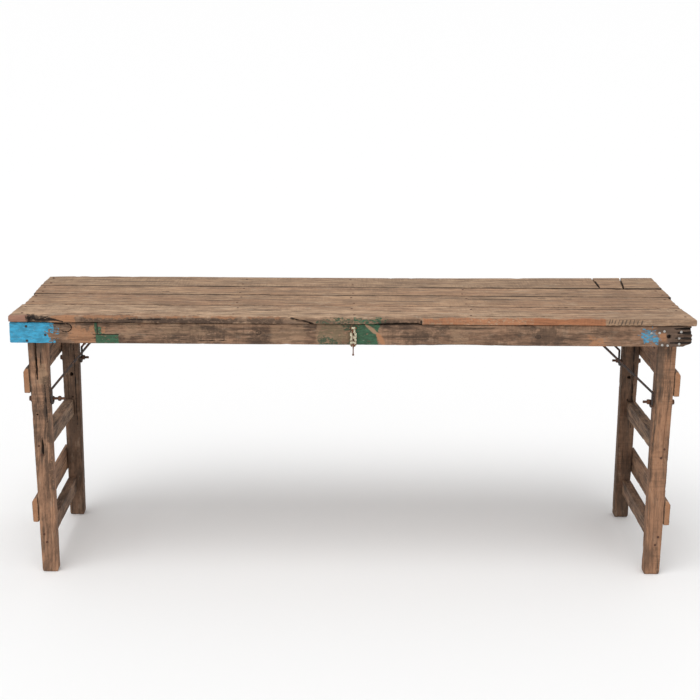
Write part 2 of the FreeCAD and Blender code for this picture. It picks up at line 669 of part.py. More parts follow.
def hasp_strap():
    """A flat strap rolled round the staple's bar, with two slots and a hole near its end."""
    neck = "strap_neck / 2"
    wide = "strap_wide / 2"
    top = "-(eye_fit + staple_radius)"
    neck_end = "-strap_neck_long"
    shoulder = "-(strap_neck_long + strap_shoulder)"
    corner = "strap_shoulder - strap_long"
    points = [
        (f"-{neck}", top),
        (f"-{neck}", neck_end),
        (f"-{wide}", shoulder),
        (f"-{wide}", "strap_notch_half - strap_notch_drop"),
        (f"strap_notch_deep - {wide}", "-strap_notch_drop"),
        (f"-{wide}", "-(strap_notch_half + strap_notch_drop)"),
        (f"-{wide}", corner),
        (f"strap_shoulder - {wide}", "-strap_long"),
        (f"{wide} - strap_shoulder", "-strap_long"),
        (wide, corner),
        (wide, shoulder),
        (neck, neck_end),
        (neck, top),
    ]
    body = board("XZ_Plane", points, "strap_thick")
    drill(body, "XZ_Plane", "0", "strap_hole_rise - strap_long", "strap_hole")
    place(body, "0", f"-{STAPLE_Y}", STAPLE_Z)
    roll = rod("staple_radius + eye_fit + strap_thick / 2", "strap_neck", f"-{neck}",
               f"-{STAPLE_Y}", STAPLE_Z, (1, 0, 0))
    hollow = rod("staple_radius + eye_fit", "strap_neck", f"-{neck}",
                 f"-{STAPLE_Y}", STAPLE_Z, (1, 0, 0))
    slots = [
        block_at(box("slot_wide", "4 * strap_thick", "slot_long"),
                 y=f"-{STAPLE_Y}", z=f"{STAPLE_Z} - {drop}")
        for drop in ("upper_slot_drop", "lower_slot_drop")
    ]
    return keep(cut(fused([body, roll]), group(slots + [hollow])), "hasp_strap")


hasp_strap()
WIRE_Z = f"({STAPLE_Z} - strap_long + strap_hole_rise - wire_ring)"
ring_start = ("-wire_ring_wide / 2", f"-{STAPLE_Y}", WIRE_Z, (1, 0, 0))
ring = cut(rod("wire_ring + wire_radius", "wire_ring_wide", *ring_start),
           rod("wire_ring - wire_radius", "wire_ring_wide", *ring_start))
tail = rod("wire_radius", "wire_tail", "0", f"-{STAPLE_Y}", f"{WIRE_Z} - wire_ring", (0, 0, -1))
bead = rod("1.7 * wire_radius", "3 * wire_radius", "0", f"-{STAPLE_Y}",
           f"{WIRE_Z} - wire_ring - wire_tail + wire_radius", (0, 0, -1))
keep(fused([ring, tail, bead]), "hasp_wire")

# ---- checks and writing ----
doc.recompute()
for thing in doc.Objects:
    if "Invalid" in thing.State or "Error" in thing.State:
        raise RuntimeError(f"{thing.Name} ({thing.Label}) failed: {thing.State}")
for thing in parts:
    if thing.Shape.isNull() or not thing.Shape.isValid() or not thing.Shape.Solids:
        raise RuntimeError(f"{thing.Label} has no valid solid")

os.makedirs("parts", exist_ok=True)
for thing in parts:
    thing.Shape.exportStep(f"parts/{thing.Label}.step")
print(len(parts), "sub-parts written")
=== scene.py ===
"""An old folding market table: worn planks, a patched and painted apron, hinged leg frames.

Boards are grown from the sizes of the CAD nodes they stand for: a rounded rectangular section
is carried along the grain, worn at its arrises, and chipped and split where the wood is.
"""

import bmesh
import bpy
import numpy as np
from mathutils import Matrix, Vector


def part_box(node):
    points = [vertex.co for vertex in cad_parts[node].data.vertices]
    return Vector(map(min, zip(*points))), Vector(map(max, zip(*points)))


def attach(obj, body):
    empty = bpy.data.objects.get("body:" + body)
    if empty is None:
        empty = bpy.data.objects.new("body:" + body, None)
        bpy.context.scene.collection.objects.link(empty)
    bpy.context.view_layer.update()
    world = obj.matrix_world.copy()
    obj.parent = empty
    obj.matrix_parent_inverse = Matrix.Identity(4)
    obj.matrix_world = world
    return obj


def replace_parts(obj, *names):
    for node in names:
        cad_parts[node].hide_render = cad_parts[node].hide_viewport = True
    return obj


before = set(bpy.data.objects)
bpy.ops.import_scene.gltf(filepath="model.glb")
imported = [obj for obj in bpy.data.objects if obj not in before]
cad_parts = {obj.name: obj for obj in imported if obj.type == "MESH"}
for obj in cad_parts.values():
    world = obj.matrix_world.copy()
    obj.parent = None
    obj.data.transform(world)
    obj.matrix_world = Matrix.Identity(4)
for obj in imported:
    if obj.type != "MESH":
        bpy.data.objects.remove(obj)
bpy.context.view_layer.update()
mm = 0.001
SIDES = (("left", -1), ("right", 1))
FACES = (("front", -1), ("back", 1))


# ---------------------------------------------------------------- shapes
def noise(x, y, seed):
    """Smooth random hills between -1 and 1: random heights on a unit grid, eased between."""
    table = np.random.default_rng(seed).random((97, 89)) * 2 - 1
    x, y = np.broadcast_arrays(x, y)
    column, row = np.floor(x), np.floor(y)
    fx, fy = x - column, y - row
    fx, fy = fx * fx * (3 - 2 * fx), fy * fy * (3 - 2 * fy)
    column, row = column.astype(int), row.astype(int)
    across, after = column % 97, (column + 1) % 97
    down, below = row % 89, (row + 1) % 89
    low = table[across, down] * (1 - fx) + table[after, down] * fx
    high = table[across, below] * (1 - fx) + table[after, below] * fx
    return low * (1 - fy) + high * fy


def rough(x, y, seed):
    """Hills with smaller hills on them: four sets, each twice as fine and half as high."""
    return sum(noise(x * 2**k, y * 2**k, seed + k) / 2**k for k in range(4)) / 1.6


def window(value, start, end, ease):
    """1 between start and end, 0 outside, with eased slopes of a given width at both ends."""
    rise = np.clip((value - start) / ease + 0.5, 0, 1)
    fall = np.clip((end - value) / ease + 0.5, 0, 1)
    both = np.minimum(rise, fall)
    return both * both * (3 - 2 * both)


def section(half, corner, counts):
    """A rounded rectangle: its points, outward normals, and nearness to an arris (1 to 0)."""
    across, up = half
    turn = np.linspace(0, np.pi / 2, 5)
    points, normals = [], []
    for quarter, (sx, sy) in enumerate(((1, 1), (-1, 1), (-1, -1), (1, -1))):
        angle = turn + quarter * np.pi / 2
        normal = np.stack([np.cos(angle), np.sin(angle)], 1)
        centre = np.array([sx * (across - corner), sy * (up - corner)])
        arc = centre + corner * normal
        # the flat run from the end of this corner to the start of the next
        inner = counts[quarter % 2]
        span = 2 * ((across if quarter % 2 == 0 else up) - corner)
        share = (1 - np.cos(np.linspace(0, np.pi, inner + 2)[1:-1])) / 2
        share = 0.7 * np.linspace(0, 1, inner + 2)[1:-1] + 0.3 * share
        step = np.array([-normal[-1][1], normal[-1][0]]) * span
        flat = arc[-1] + share[:, None] * step
        points += [arc, flat]
        normals += [normal, np.repeat(normal[-1:], inner, 0)]
    points, normals = np.concatenate(points), np.concatenate(normals)
    reach = np.abs(np.array([across, up]) - np.abs(points))
    nearness = np.exp(-np.maximum(reach[:, 0], reach[:, 1]) / (2.5 * corner))
    return points, normals, nearness


def closed_tube(name, rings, attributes=()):
    """A closed mesh from rings of points: rings joined in order, each end closed to its middle."""
    count, around = rings.shape[:2]
    ends = [rings[0].mean(0), rings[-1].mean(0)]
    points = np.concatenate([rings.reshape(-1, 3), ends])
    ring = np.arange(count - 1)[:, None] * around
    step = np.arange(around)[None, :]
    after = (step + 1) % around
    quads = np.stack([ring + step, ring + after, ring + around + after, ring + around + step], -1)
    step, after = step[0], after[0]
    first, last = count * around, (count - 1) * around
    caps = np.concatenate([
        np.stack([np.full(around, first), after, step], -1),
        np.stack([np.full(around, first + 1), last + step, last + after], -1),
    ])
    mesh = bpy.data.meshes.new(name)
    mesh.from_pydata(points.tolist(), [], quads.reshape(-1, 4).tolist() + caps.tolist())
    for label, values in attributes:
        data = mesh.attributes.new(label, "FLOAT", "POINT")
        padded = np.concatenate([np.broadcast_to(values, (count, around)).ravel(), [0, 0]])
        data.data.foreach_set("value", padded.astype(np.float32))
    mesh.shade_smooth()
    piece = bpy.data.objects.new(name, mesh)
    bpy.context.collection.objects.link(piece)
    return piece


def board(name, material, grain, seed, step=8 * mm, corner=2.5 * mm, counts=(30, 12),
          worn=1.2 * mm, ends=None, outline=None, shaping=None, body="top"):
    """A worn board in place of a CAD node.

    The section runs along the grain axis from end to end. The surface is its section, less
    hills a few centimetres long, less fine furrows along the grain, less more wear at arrises.
    ends moves the two sawn ends by amounts that depend on the place across the section;
    outline squeezes the section's first side between two edges that change along the length;
    shaping takes away chips, splits and dents.
    """
    low, high = (np.array(corner_point) for corner_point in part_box(name))
    axes = [grain, (grain + 1) % 3, (grain + 2) % 3]
    low, high = low[axes], high[axes]
    length = high[0] - low[0]
    middle, half = (low + high) / 2, (high - low) / 2
    points, normals, arris = section(half[1:], corner, counts)
    reach = np.arange(corner * 1.5, length - corner * 1.5, step)
    bend = np.linspace(0, np.pi / 2, 5)
    lead = corner * (1 - np.sin(bend)[::-1])
    inset = corner * (1 - np.cos(bend))[::-1]
    shrink = np.array([0.02, 0.3, 0.6, 0.85, 0.97])
    start = np.concatenate([np.zeros(5), lead])
    along = np.concatenate([start, reach, length - start[::-1]])
    flat = np.zeros(len(reach))
    inset = np.concatenate([np.full(5, corner), inset, flat, inset[::-1], np.full(5, corner)])
    body_scale = np.ones(len(reach) + 10)
    scale = np.concatenate([shrink, body_scale, shrink[::-1]])[:, None]
    cap = np.concatenate([np.ones(6), np.zeros(len(along) - 12), np.ones(6)])[:, None]
    travel = along[:, None]
    where = np.cumsum(np.linalg.norm(np.roll(points, -1, 0) - points, axis=1))[None, :]
    hills = rough(travel * 9, where * 14, seed) * 0.5 + 0.5
    furrows = rough(travel * 5, where * 260, seed + 11) * 0.5 + 0.5
    bites = np.clip(rough(travel * 30, where * 25, seed + 23), 0.25, 1) - 0.25
    depth = 0.7 * mm * hills + 0.55 * mm * furrows * (1 - arris) + worn * arris * (0.4 + 2.4 * bites)
    depth = depth * (1 - cap) + inset[:, None]
    across = (points[None, :, 0] - normals[None, :, 0] * depth) * scale
    up = (points[None, :, 1] - normals[None, :, 1] * depth) * scale
    if outline is not None:
        inner, outer = outline(travel / length)
        across = (inner + outer) / 2 + across / half[1] * (outer - inner) / 2
    pull = travel / length
    at_start, at_end = (0, 0) if ends is None else ends(across + middle[1], up + middle[2])
    saw = 0.6 * mm * rough(across * 90, up * 90, seed + 31)
    rag = 0.8 * mm * (1 + rough(across * 160, up * 30, seed + 37))
    run = travel + (at_start + saw + rag) * (1 - pull) + (at_end - saw - rag) * pull
    place = np.empty(across.shape + (3,))
    place[..., axes[0]] = low[0] + run
    place[..., axes[1]] = middle[1] + across
    place[..., axes[2]] = middle[2] + up
    facing = np.zeros_like(place)
    facing[..., axes[1]] = normals[None, :, 0] * (1 - cap)
    facing[..., axes[2]] = normals[None, :, 1] * (1 - cap)
    if shaping is not None:
        place = shaping(place, facing)
    piece = closed_tube(name + ".worn", place, (
        ("arris", np.broadcast_to(arris[None, :], across.shape)),
        ("end_grain", np.broadcast_to(cap, across.shape)),
        ("log", np.full(across.shape, seed * 0.37)),
    ))
    piece.data.materials.append(material)
    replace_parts(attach(piece, body), name)
    return piece


def circle(along, angle):
    """Unit directions square to an axis, one for each angle."""
    side = np.array([0, 0, 1.0]) if abs(along[2]) < 0.5 else np.array([1.0, 0, 0])
    return np.cos(angle)[:, None] * side + np.sin(angle)[:, None] * np.cross(along, side)


def turned(name, start, along, stations, material, body, node):
    """A piece turned about an axis: each station is a distance along it and a radius per angle.

    The surface's two parameters are the station and the angle; both ends close on the axis.
    """
    angle = np.linspace(0, 2 * np.pi, 49)[:-1]
    along = np.array(along, float)
    ring = circle(along, angle)
    rings = np.stack([
        np.array(start) + along * reach + ring * np.broadcast_to(radius(angle), 48)[:, None]
        for reach, radius in stations
    ])
    piece = closed_tube(name, rings)
    piece.data.materials.append(material)
    if node:
        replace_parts(piece, node)
    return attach(piece, body)


def six_sided(flat, limit):
    """Radius of a hexagon, flat from its middle to each side, but never more than a limit."""
    def radius(angle):
        wedge = (angle + np.pi / 6) % (np.pi / 3) - np.pi / 6
        return np.minimum(flat / np.cos(wedge), limit)
    return radius


def round_bar(amount):
    """The same radius at every angle."""
    return lambda angle: np.full(angle.shape, amount)


def thread(amount, reach, pitch, deep):
    """Radius of a screw thread: a ridge that climbs one pitch in each turn."""
    def radius(angle):
        climb = (reach / pitch - angle / (2 * np.pi)) % 1
        return amount - deep * np.abs(2 * climb - 1)
    return radius


def dent(place, facing, centre, size, depth):
    """Sink the surface by depth times a bell shape about a centre; size is the bell's reach."""
    gap = (place - np.array(centre)) / np.array(size)
    return place - facing * (depth * np.exp(-(gap**2).sum(-1)))[..., None]


def split(place, facing, grain, start, end, width, depth, seed, side=None):
    """A crack along the grain between two points: a narrow trench that wanders and tapers."""
    start, end = np.array(start), np.array(end)
    share = (place[..., grain] - start[grain]) / (end[grain] - start[grain])
    inside = np.clip(share, 0, 1)
    line = start + inside[..., None] * (end - start)
    line = line + 1.5 * mm * noise(inside * 9, 0.5, seed)[..., None]
    gap = place - line
    gap[..., grain] *= 0.15
    if side is not None:
        gap[..., side] = 0
    taper = np.sin(np.clip(share, 0, 1) * np.pi) ** 0.4 * (share > 0) * (share < 1)
    cut = depth * taper * np.exp(-((gap**2).sum(-1)) / width**2)
    return place - facing * cut[..., None]


def bore(piece, centre, along, radius, depth):
    """Drill a round hole into a piece: a drill bit is cut from the mesh and thrown away."""
    ring = radius * circle(along, np.linspace(0, 2 * np.pi, 25)[:-1])
    reach = depth * np.array(along)
    tool = closed_tube("bit", np.stack([centre - reach + ring, centre + reach + ring]))
    cut = piece.modifiers.new("cut", "BOOLEAN")
    cut.operation = "DIFFERENCE"
    cut.solver = "EXACT"
    cut.object = tool
    bpy.context.view_layer.update()
    finished = piece.evaluated_get(bpy.context.evaluated_depsgraph_get())
    mesh = bpy.data.meshes.new_from_object(finished)
    piece.modifiers.clear()
    old = piece.data
    piece.data = mesh
    bpy.data.meshes.remove(old)
    bpy.data.objects.remove(tool)


# ---------------------------------------------------------------- node building
class Graph:
    """A short way to write node trees: each call adds a node and returns an output socket."""

    def __init__(self, tree):
        self.tree = tree

    def node(self, kind, inputs=None, **settings):
        made = self.tree.nodes.new("ShaderNode" + kind)
        for name, value in settings.items():
            setattr(made, name, value)
        for name, value in (inputs or {}).items():
            if isinstance(value, bpy.types.NodeSocket):
                self.tree.links.new(value, made.inputs[name])
            else:
                made.inputs[name].default_value = value
        return made

    def math(self, operation, first, second=0.0, clamp=False):
        values = {0: first, 1: second}
        return self.node("Math", values, operation=operation, use_clamp=clamp).outputs[0]

    def times(self, first, second):
        return self.math("MULTIPLY", first, second)

    def plus(self, first, second):
        return self.math("ADD", first, second)

    def minus(self, first, second):
        return self.math("SUBTRACT", first, second)

    def larger(self, first, second):
        return self.math("MAXIMUM", first, second)

    def vector(self, operation, first, second):
        return self.node("VectorMath", {0: first, 1: second}, operation=operation).outputs[0]

    def stretch(self, vector, scale):
        return self.vector("MULTIPLY", vector, scale)

    def group(self, tree, **values):
        return self.node("Group", values, node_tree=tree)

    def send(self, output, socket):
        self.tree.links.new(output, socket)

    def noise(self, vector, scale=1.0, detail=3.0, roughness=0.5, distortion=0.0):
        """Fractal noise, about 0.5 on average."""
        inputs = {"Vector": vector, "Scale": scale, "Detail": detail, "Roughness": roughness,
                  "Distortion": distortion}
        return self.node("TexNoise", inputs).outputs["Fac"]

    def grained(self, place, along, across, detail, roughness=0.5, distortion=0.0):
        """Noise drawn out along X: along and across say how fine it is each way."""
        stretched = self.stretch(place, (along, across, across))
        return self.noise(stretched, 1.0, detail, roughness, distortion)

    def sum_of(self, *terms):
        """Each value times its weight, all added up."""
        parts = [self.times(value, weight) for value, weight in terms]
        total = parts[0]
        for part in parts[1:]:
            total = self.plus(total, part)
        return total

    def between(self, value, low, high):
        """0 below low, 1 above high, eased between."""
        inputs = {"Value": value, "From Min": low, "From Max": high}
        return self.node("MapRange", inputs, interpolation_type="SMOOTHSTEP").outputs["Result"]

    def mix(self, factor, first, second):
        """The first colour at factor 0, the second at 1; the sockets are the node's colour ones."""
        inputs = {0: factor, 6: first, 7: second}
        return self.node("Mix", inputs, data_type="RGBA").outputs[2]


GREY_TOP = (0.55, 0.365, 0.235, 1)
BROWN_TOP = (0.48, 0.30, 0.182, 1)
DEEP_TOP = (0.195, 0.125, 0.08, 1)
PALE_BROWN = (0.30, 0.188, 0.124, 1)
DEEP_BROWN = (0.072, 0.046, 0.032, 1)
DEEP_GREY = (0.105, 0.075, 0.056, 1)
WARM_WOOD = (0.37, 0.195, 0.112, 1)
FRESH_WOOD = (0.42, 0.205, 0.105, 1)
TAN_WOOD = (0.37, 0.235, 0.145, 1)
BLUE_PAINT = (0.065, 0.40, 0.63, 1)
GREEN_PAINT = (0.055, 0.135, 0.075, 1)
DULL_GREEN = (0.082, 0.108, 0.064, 1)
STAINED_GREEN = (0.13, 0.125, 0.07, 1)
DIRT_AND_SHADE = (0.026, 0.018, 0.013, 1)
CRACK_AND_SHADE_DARK = (0.012, 0.008, 0.006, 1)
BLEACHED_WOOD = (0.52, 0.42, 0.31, 1)
PAINT_SCUFF = (0.45, 0.40, 0.34, 1)
DEEP_RUST = (0.05, 0.022, 0.012, 1)


def shader_group(name, inputs, outputs):
    """An empty shader group with named sockets; returns its graph, its inputs and its output."""
    group = bpy.data.node_groups.new(name, "ShaderNodeTree")
    kinds = {"v": "NodeSocketVector", "c": "NodeSocketColor", "f": "NodeSocketFloat"}
    for label, kind in inputs:
        group.interface.new_socket(label, in_out="INPUT", socket_type=kinds[kind])
    for label, kind in outputs:
        group.interface.new_socket(label, in_out="OUTPUT", socket_type=kinds[kind])
    graph = Graph(group)
    entry = group.nodes.new("NodeGroupInput")
    leave = group.nodes.new("NodeGroupOutput")
    return graph, entry.outputs, leave.inputs


def old_wood_group():
    """Weathered wood with its grain along X.

    Tone is the sum of long bands, shorter streaks and fibres. Warm clouds, dark stains, saw
    marks across the grain, short flecks and thin drying cracks lie over it.
    """
    g, given, out = shader_group("Old wood", (
        ("Grain", "v"), ("Log", "f"), ("Pale", "c"), ("Deep", "c"), ("Warm", "c"),
        ("Warmth", "f"), ("Age", "f"), ("Sawn", "f"), ("Bleached", "f")),
        (("Color", "c"), ("Roughness", "f"), ("Height", "f")))
    shift = g.node("CombineXYZ", {"X": given["Log"], "Y": given["Log"], "Z": 0.31}).outputs[0]
    place = g.vector("ADD", given["Grain"], shift)
    drift = g.minus(g.grained(place, 1.6, 7, 2), 0.5)
    sway = g.node("CombineXYZ", {"X": 0.0, "Y": g.times(drift, 0.06), "Z": 0.0})
    place = g.vector("ADD", place, sway.outputs[0])
    bands = g.grained(place, 3.2, 62, 4, 0.6, 0.3)
    mottle = g.grained(place, 15, 40, 6, 0.7, 0.2)
    streaks = g.grained(place, 10, 175, 4, 0.65)
    fibres = g.grained(place, 30, 560, 3, 0.7)
    clouds = g.grained(place, 2.6, 9, 4, 0.6)
    stains = g.grained(place, 7, 20, 7, 0.72, 0.4)
    saw = g.grained(place, 190, 10, 2, 0.6)
    saw_area = g.between(g.grained(place, 5, 11, 2), 0.42, 0.56)
    flecks = g.between(g.grained(place, 75, 300, 2, 0.6), 0.6, 0.72)
    cracks = g.between(g.grained(place, 3.2, 170, 2, 0.5), 0.655, 0.69)
    cracks = g.times(cracks, g.plus(0.1, given["Age"]))
    tone = g.sum_of((bands, 0.26), (streaks, 0.24), (mottle, 0.36), (fibres, 0.2))
    tone = g.between(tone, 0.445, 0.61)
    color = g.mix(tone, given["Deep"], given["Pale"])
    glow = g.times(g.between(clouds, 0.46, 0.62), given["Warmth"])
    lit = g.mix(tone, g.mix(0.5, given["Warm"], given["Deep"]), given["Warm"])
    color = g.mix(glow, color, lit)
    soot = g.times(g.between(stains, 0.47, 0.68), given["Age"])
    color = g.mix(soot, color, given["Deep"])
    worn_grey = g.between(g.grained(place, 19, 60, 5, 0.7), 0.54, 0.66)
    worn_grey = g.times(worn_grey, given["Bleached"])
    color = g.mix(worn_grey, color, BLEACHED_WOOD)
    ridges = g.times(g.times(g.between(saw, 0.42, 0.62), saw_area), given["Sawn"])
    color = g.mix(ridges, color, given["Deep"])
    dark = g.larger(g.times(flecks, 0.38), cracks)
    color = g.mix(dark, color, DIRT_AND_SHADE)
    height = g.sum_of((streaks, 0.5), (fibres, 0.35), (bands, 0.35), (ridges, -0.3), (dark, -0.9))
    g.send(color, out["Color"])
    g.send(height, out["Height"])
    gloss = g.plus(0.70, g.times(streaks, 0.25))
    g.send(gloss, out["Roughness"])
    return g.tree


def patch_group():
    """Where a patch of paint or of bare wood lies: a box with a ragged, worn-through border."""
    g, given, out = shader_group("Patch", (
        ("Place", "v"), ("Middle", "v"), ("Half", "v"), ("Ragged", "f"), ("Soft", "f"),
        ("Worn", "f")), (("Mask", "f"),))
    away = g.node("VectorMath", {0: g.vector("SUBTRACT", given["Place"], given["Middle"])},
                  operation="ABSOLUTE").outputs[0]
    over = g.node("SeparateXYZ", {0: g.vector("SUBTRACT", away, given["Half"])}).outputs
    edge = g.larger(g.larger(over[0], over[1]), over[2])
    wide = g.minus(g.noise(given["Place"], 13, 3, 0.5), 0.5)
    coarse = g.minus(g.noise(given["Place"], 75, 6, 0.7), 0.5)
    coarse = g.plus(coarse, g.times(wide, 1.2))
    edge = g.plus(edge, g.times(coarse, given["Ragged"]))
    inside = g.between(edge, g.times(given["Soft"], -1.0), given["Soft"])
    inside = g.minus(1.0, inside)
    chips = g.grained(given["Place"], 90, 190, 6, 0.72)
    left = g.between(chips, given["Worn"], g.plus(given["Worn"], 0.04))
    g.send(g.times(inside, left), out["Mask"])
    return g.tree


def iron_group():
    """Forged iron: near-black scale with brown and orange rust in blotches and pits."""
    g, given, out = shader_group("Old iron", (
        ("Place", "v"), ("Bare", "c"), ("Rust", "c"), ("Rusted", "f")),
        (("Color", "c"), ("Roughness", "f"), ("Metallic", "f"), ("Height", "f")))
    blotch = g.noise(given["Place"], 130, 6, 0.65)
    grit = g.noise(given["Place"], 900, 4, 0.7)
    both = g.sum_of((blotch, 0.75), (grit, 0.25))
    mask = g.between(both, g.minus(0.72, given["Rusted"]), g.minus(0.86, given["Rusted"]))
    deep = g.mix(g.between(grit, 0.35, 0.7), given["Rust"], DEEP_RUST)
    g.send(g.mix(mask, given["Bare"], deep), out["Color"])
    g.send(g.plus(0.5, g.times(mask, 0.35)), out["Roughness"])
    g.send(g.minus(0.75, g.times(mask, 0.7)), out["Metallic"])
    g.send(g.plus(both, g.times(mask, 0.4)), out["Height"])
    return g.tree


def knot_group():
    """A knot: dark rings round a place, with a dark heart."""
    g, given, out = shader_group("Knot", (("Place", "v"), ("Middle", "v"), ("Size", "v")),
                                 (("Mask", "f"),))
    gap = g.vector("DIVIDE", g.vector("SUBTRACT", given["Place"], given["Middle"]), given["Size"])
    wobble = g.minus(g.noise(given["Place"], 110, 3), 0.5)
    away = g.node("VectorMath", {0: gap}, operation="LENGTH").outputs["Value"]
    away = g.plus(away, g.times(wobble, 0.5))
    rim = g.math("ABSOLUTE", g.minus(away, 1.0))
    ring = g.minus(1.0, g.between(rim, 0.05, 0.16))
    inner = g.math("ABSOLUTE", g.minus(away, 0.62))
    inner = g.times(g.minus(1.0, g.between(inner, 0.03, 0.14)), 0.5)
    heart = g.times(g.minus(1.0, g.between(away, 0.1, 0.4)), 0.7)
    mask = g.larger(ring, g.larger(inner, heart))
    g.send(mask, out["Mask"])
    return g.tree


def crack_group():
    """A line between two points, wandering a little and fading at its ends.

    Flat shrinks distances along the axis that the surface faces, so that the line is also
    found at the bottom of a dent.
    """
    g, given, out = shader_group("Crack", (
        ("Place", "v"), ("Start", "v"), ("End", "v"), ("Width", "f"), ("Flat", "v")),
        (("Mask", "f"),))
    run = g.vector("SUBTRACT", given["End"], given["Start"])
    gap = g.vector("SUBTRACT", given["Place"], given["Start"])
    gap = g.vector("MULTIPLY", gap, given["Flat"])
    along = g.node("VectorMath", {0: gap, 1: run}, operation="DOT_PRODUCT").outputs["Value"]
    long = g.node("VectorMath", {0: run, 1: run}, operation="DOT_PRODUCT").outputs["Value"]
    share = g.math("DIVIDE", along, long, clamp=True)
    nearest = g.node("VectorMath", {0: run, "Scale": share}, operation="SCALE").outputs[0]
    away = g.node("VectorMath", {0: g.vector("SUBTRACT", gap, nearest)}, operation="LENGTH")
    wander = g.minus(g.noise(given["Place"], 60, 4, 0.6), 0.5)
    away = g.plus(away.outputs["Value"], g.times(wander, 0.006))
    belly = g.times(g.times(share, g.minus(1.0, share)), 2.4)
    reach = g.times(given["Width"], g.plus(0.4, belly))
    mask = g.between(away, g.times(reach, 0.55), g.times(reach, 1.25))
    g.send(g.minus(1.0, mask), out["Mask"])
    return g.tree


OLD_WOOD = old_wood_group()
PATCH = patch_group()
OLD_IRON = iron_group()
KNOT = knot_group()
CRACK = crack_group()
# the Flat of cracks on an upright face, and of cracks on the top
FACES_FRONT = (1, 0.15, 1)
FACES_UP = (1, 1, 0.15)


def new_material(name):
    """A new material: itself, its graph, its shader, and its piece's own coordinates."""
    material = bpy.data.materials.new(name)
    material.use_nodes = True
    graph = Graph(material.node_tree)
    shader = material.node_tree.nodes["Principled BSDF"]
    place = graph.node("TexCoord").outputs["Object"]
    return material, graph, shader, place


def finish(graph, shader, color, roughness, height, strength, distance, metallic=None):
    """Feed a Principled shader, with a bump from the height."""
    bump = graph.node("Bump", {"Height": height, "Strength": strength, "Distance": distance})
    graph.send(color, shader.inputs["Base Color"])
    graph.send(roughness, shader.inputs["Roughness"])
    graph.send(bump.outputs[0], shader.inputs["Normal"])
    if metallic is not None:
        graph.send(metallic, shader.inputs["Metallic"])


def wood(name, grain, pale, deep, warmth=0.5, age=0.5, sawn=0.4, bleached=0.15,
         patches=(), knots=(), cracks=(), top_cracks=(), edge_color=DIRT_AND_SHADE, edge_amount=0.35,
         end_color=DEEP_BROWN, end_amount=0.35):
    """A weathered board's finish; grain is the axis of the fibres.

    Each patch is a colour, its box's middle and half sizes in metres, how ragged and how soft
    its border is, how much of it has worn away, and how strongly it covers; a strength over 1
    is a coat of paint. Each knot is a middle and its reach along X, Y and Z.
    Each crack is its two ends, its width, and a colour if it isn't dark; on the front plank's edge a
    few of these dark lines are painted shade, wholly or in part.
    """
    material, g, shader, place = new_material(name)
    # the group's fibres run along X, so the grain's axis is brought there
    parts = g.node("SeparateXYZ", {0: place}).outputs
    order = [grain, (grain + 1) % 3, (grain + 2) % 3]
    turned = g.node("CombineXYZ", {k: parts[axis] for k, axis in enumerate(order)}).outputs[0]
    log = g.node("Attribute", attribute_name="log").outputs["Fac"]
    stock = g.group(OLD_WOOD, Grain=turned, Log=log, Pale=pale, Deep=deep, Warm=WARM_WOOD,
                    Warmth=warmth, Age=age, Sawn=sawn, Bleached=bleached)
    color, height = stock.outputs["Color"], stock.outputs["Height"]
    end = g.node("Attribute", attribute_name="end_grain").outputs["Fac"]
    color = g.mix(g.times(end, end_amount), color, end_color)
    arris = g.node("Attribute", attribute_name="arris").outputs["Fac"]
    soil = g.between(g.times(arris, g.noise(place, 60, 4, 0.6)), 0.3, 0.6)
    color = g.mix(g.times(soil, edge_amount), color, edge_color)
    for shade, middle, half, ragged, soft, worn, strength in patches:
        patch = g.group(PATCH, Place=place, Middle=middle, Half=half, Ragged=ragged, Soft=soft,
                        Worn=worn)
        mask = patch.outputs["Mask"]
        if strength > 1:
            scuffed = g.between(g.grained(place, 40, 120, 5, 0.7), 0.38, 0.62)
            tint = g.mix(scuffed, g.mix(0.42, shade, DIRT_AND_SHADE), shade)
            specks = g.between(g.grained(place, 120, 240, 3, 0.6), 0.63, 0.70)
            tint = g.mix(g.times(specks, 0.45), tint, PAINT_SCUFF)
            color = g.mix(mask, color, tint)
            height = g.plus(height, g.times(mask, 0.35))
        else:
            tint = g.mix(g.between(height, 0.4, 0.7), g.mix(0.45, shade, DEEP_BROWN), shade)
            color = g.mix(g.times(mask, strength), color, tint)
    for middle, reach in knots:
        knot = g.group(KNOT, Place=place, Middle=middle, Size=reach)
        mark = g.times(knot.outputs["Mask"], 0.8)
        color = g.mix(mark, color, DIRT_AND_SHADE)
        height = g.minus(height, mark)
    for flat, lines in ((FACES_FRONT, cracks), (FACES_UP, top_cracks)):
        for start, end, width, *tint in lines:
            crack = g.group(CRACK, Place=place, Start=start, End=end, Width=width, Flat=flat)
            mask = crack.outputs["Mask"]
            color = g.mix(g.times(mask, 0.93), color, tint[0] if tint else CRACK_AND_SHADE_DARK)
            height = height if tint else g.minus(height, mask)
    shader.inputs["Specular IOR Level"].default_value = 0.25
    finish(g, shader, color, stock.outputs["Roughness"], height, 0.6, 0.0014)
    return material


def iron(name, bare, rust, rusted):
    """Iron with a bare colour, a rust colour, and how far the rust has spread (0 to 1)."""
    material, g, shader, place = new_material(name)
    outs = g.group(OLD_IRON, Place=place, Bare=bare, Rust=rust, Rusted=rusted).outputs
    finish(g, shader, outs["Color"], outs["Roughness"], outs["Height"], 0.5, 0.0006,
           outs["Metallic"])
    return material


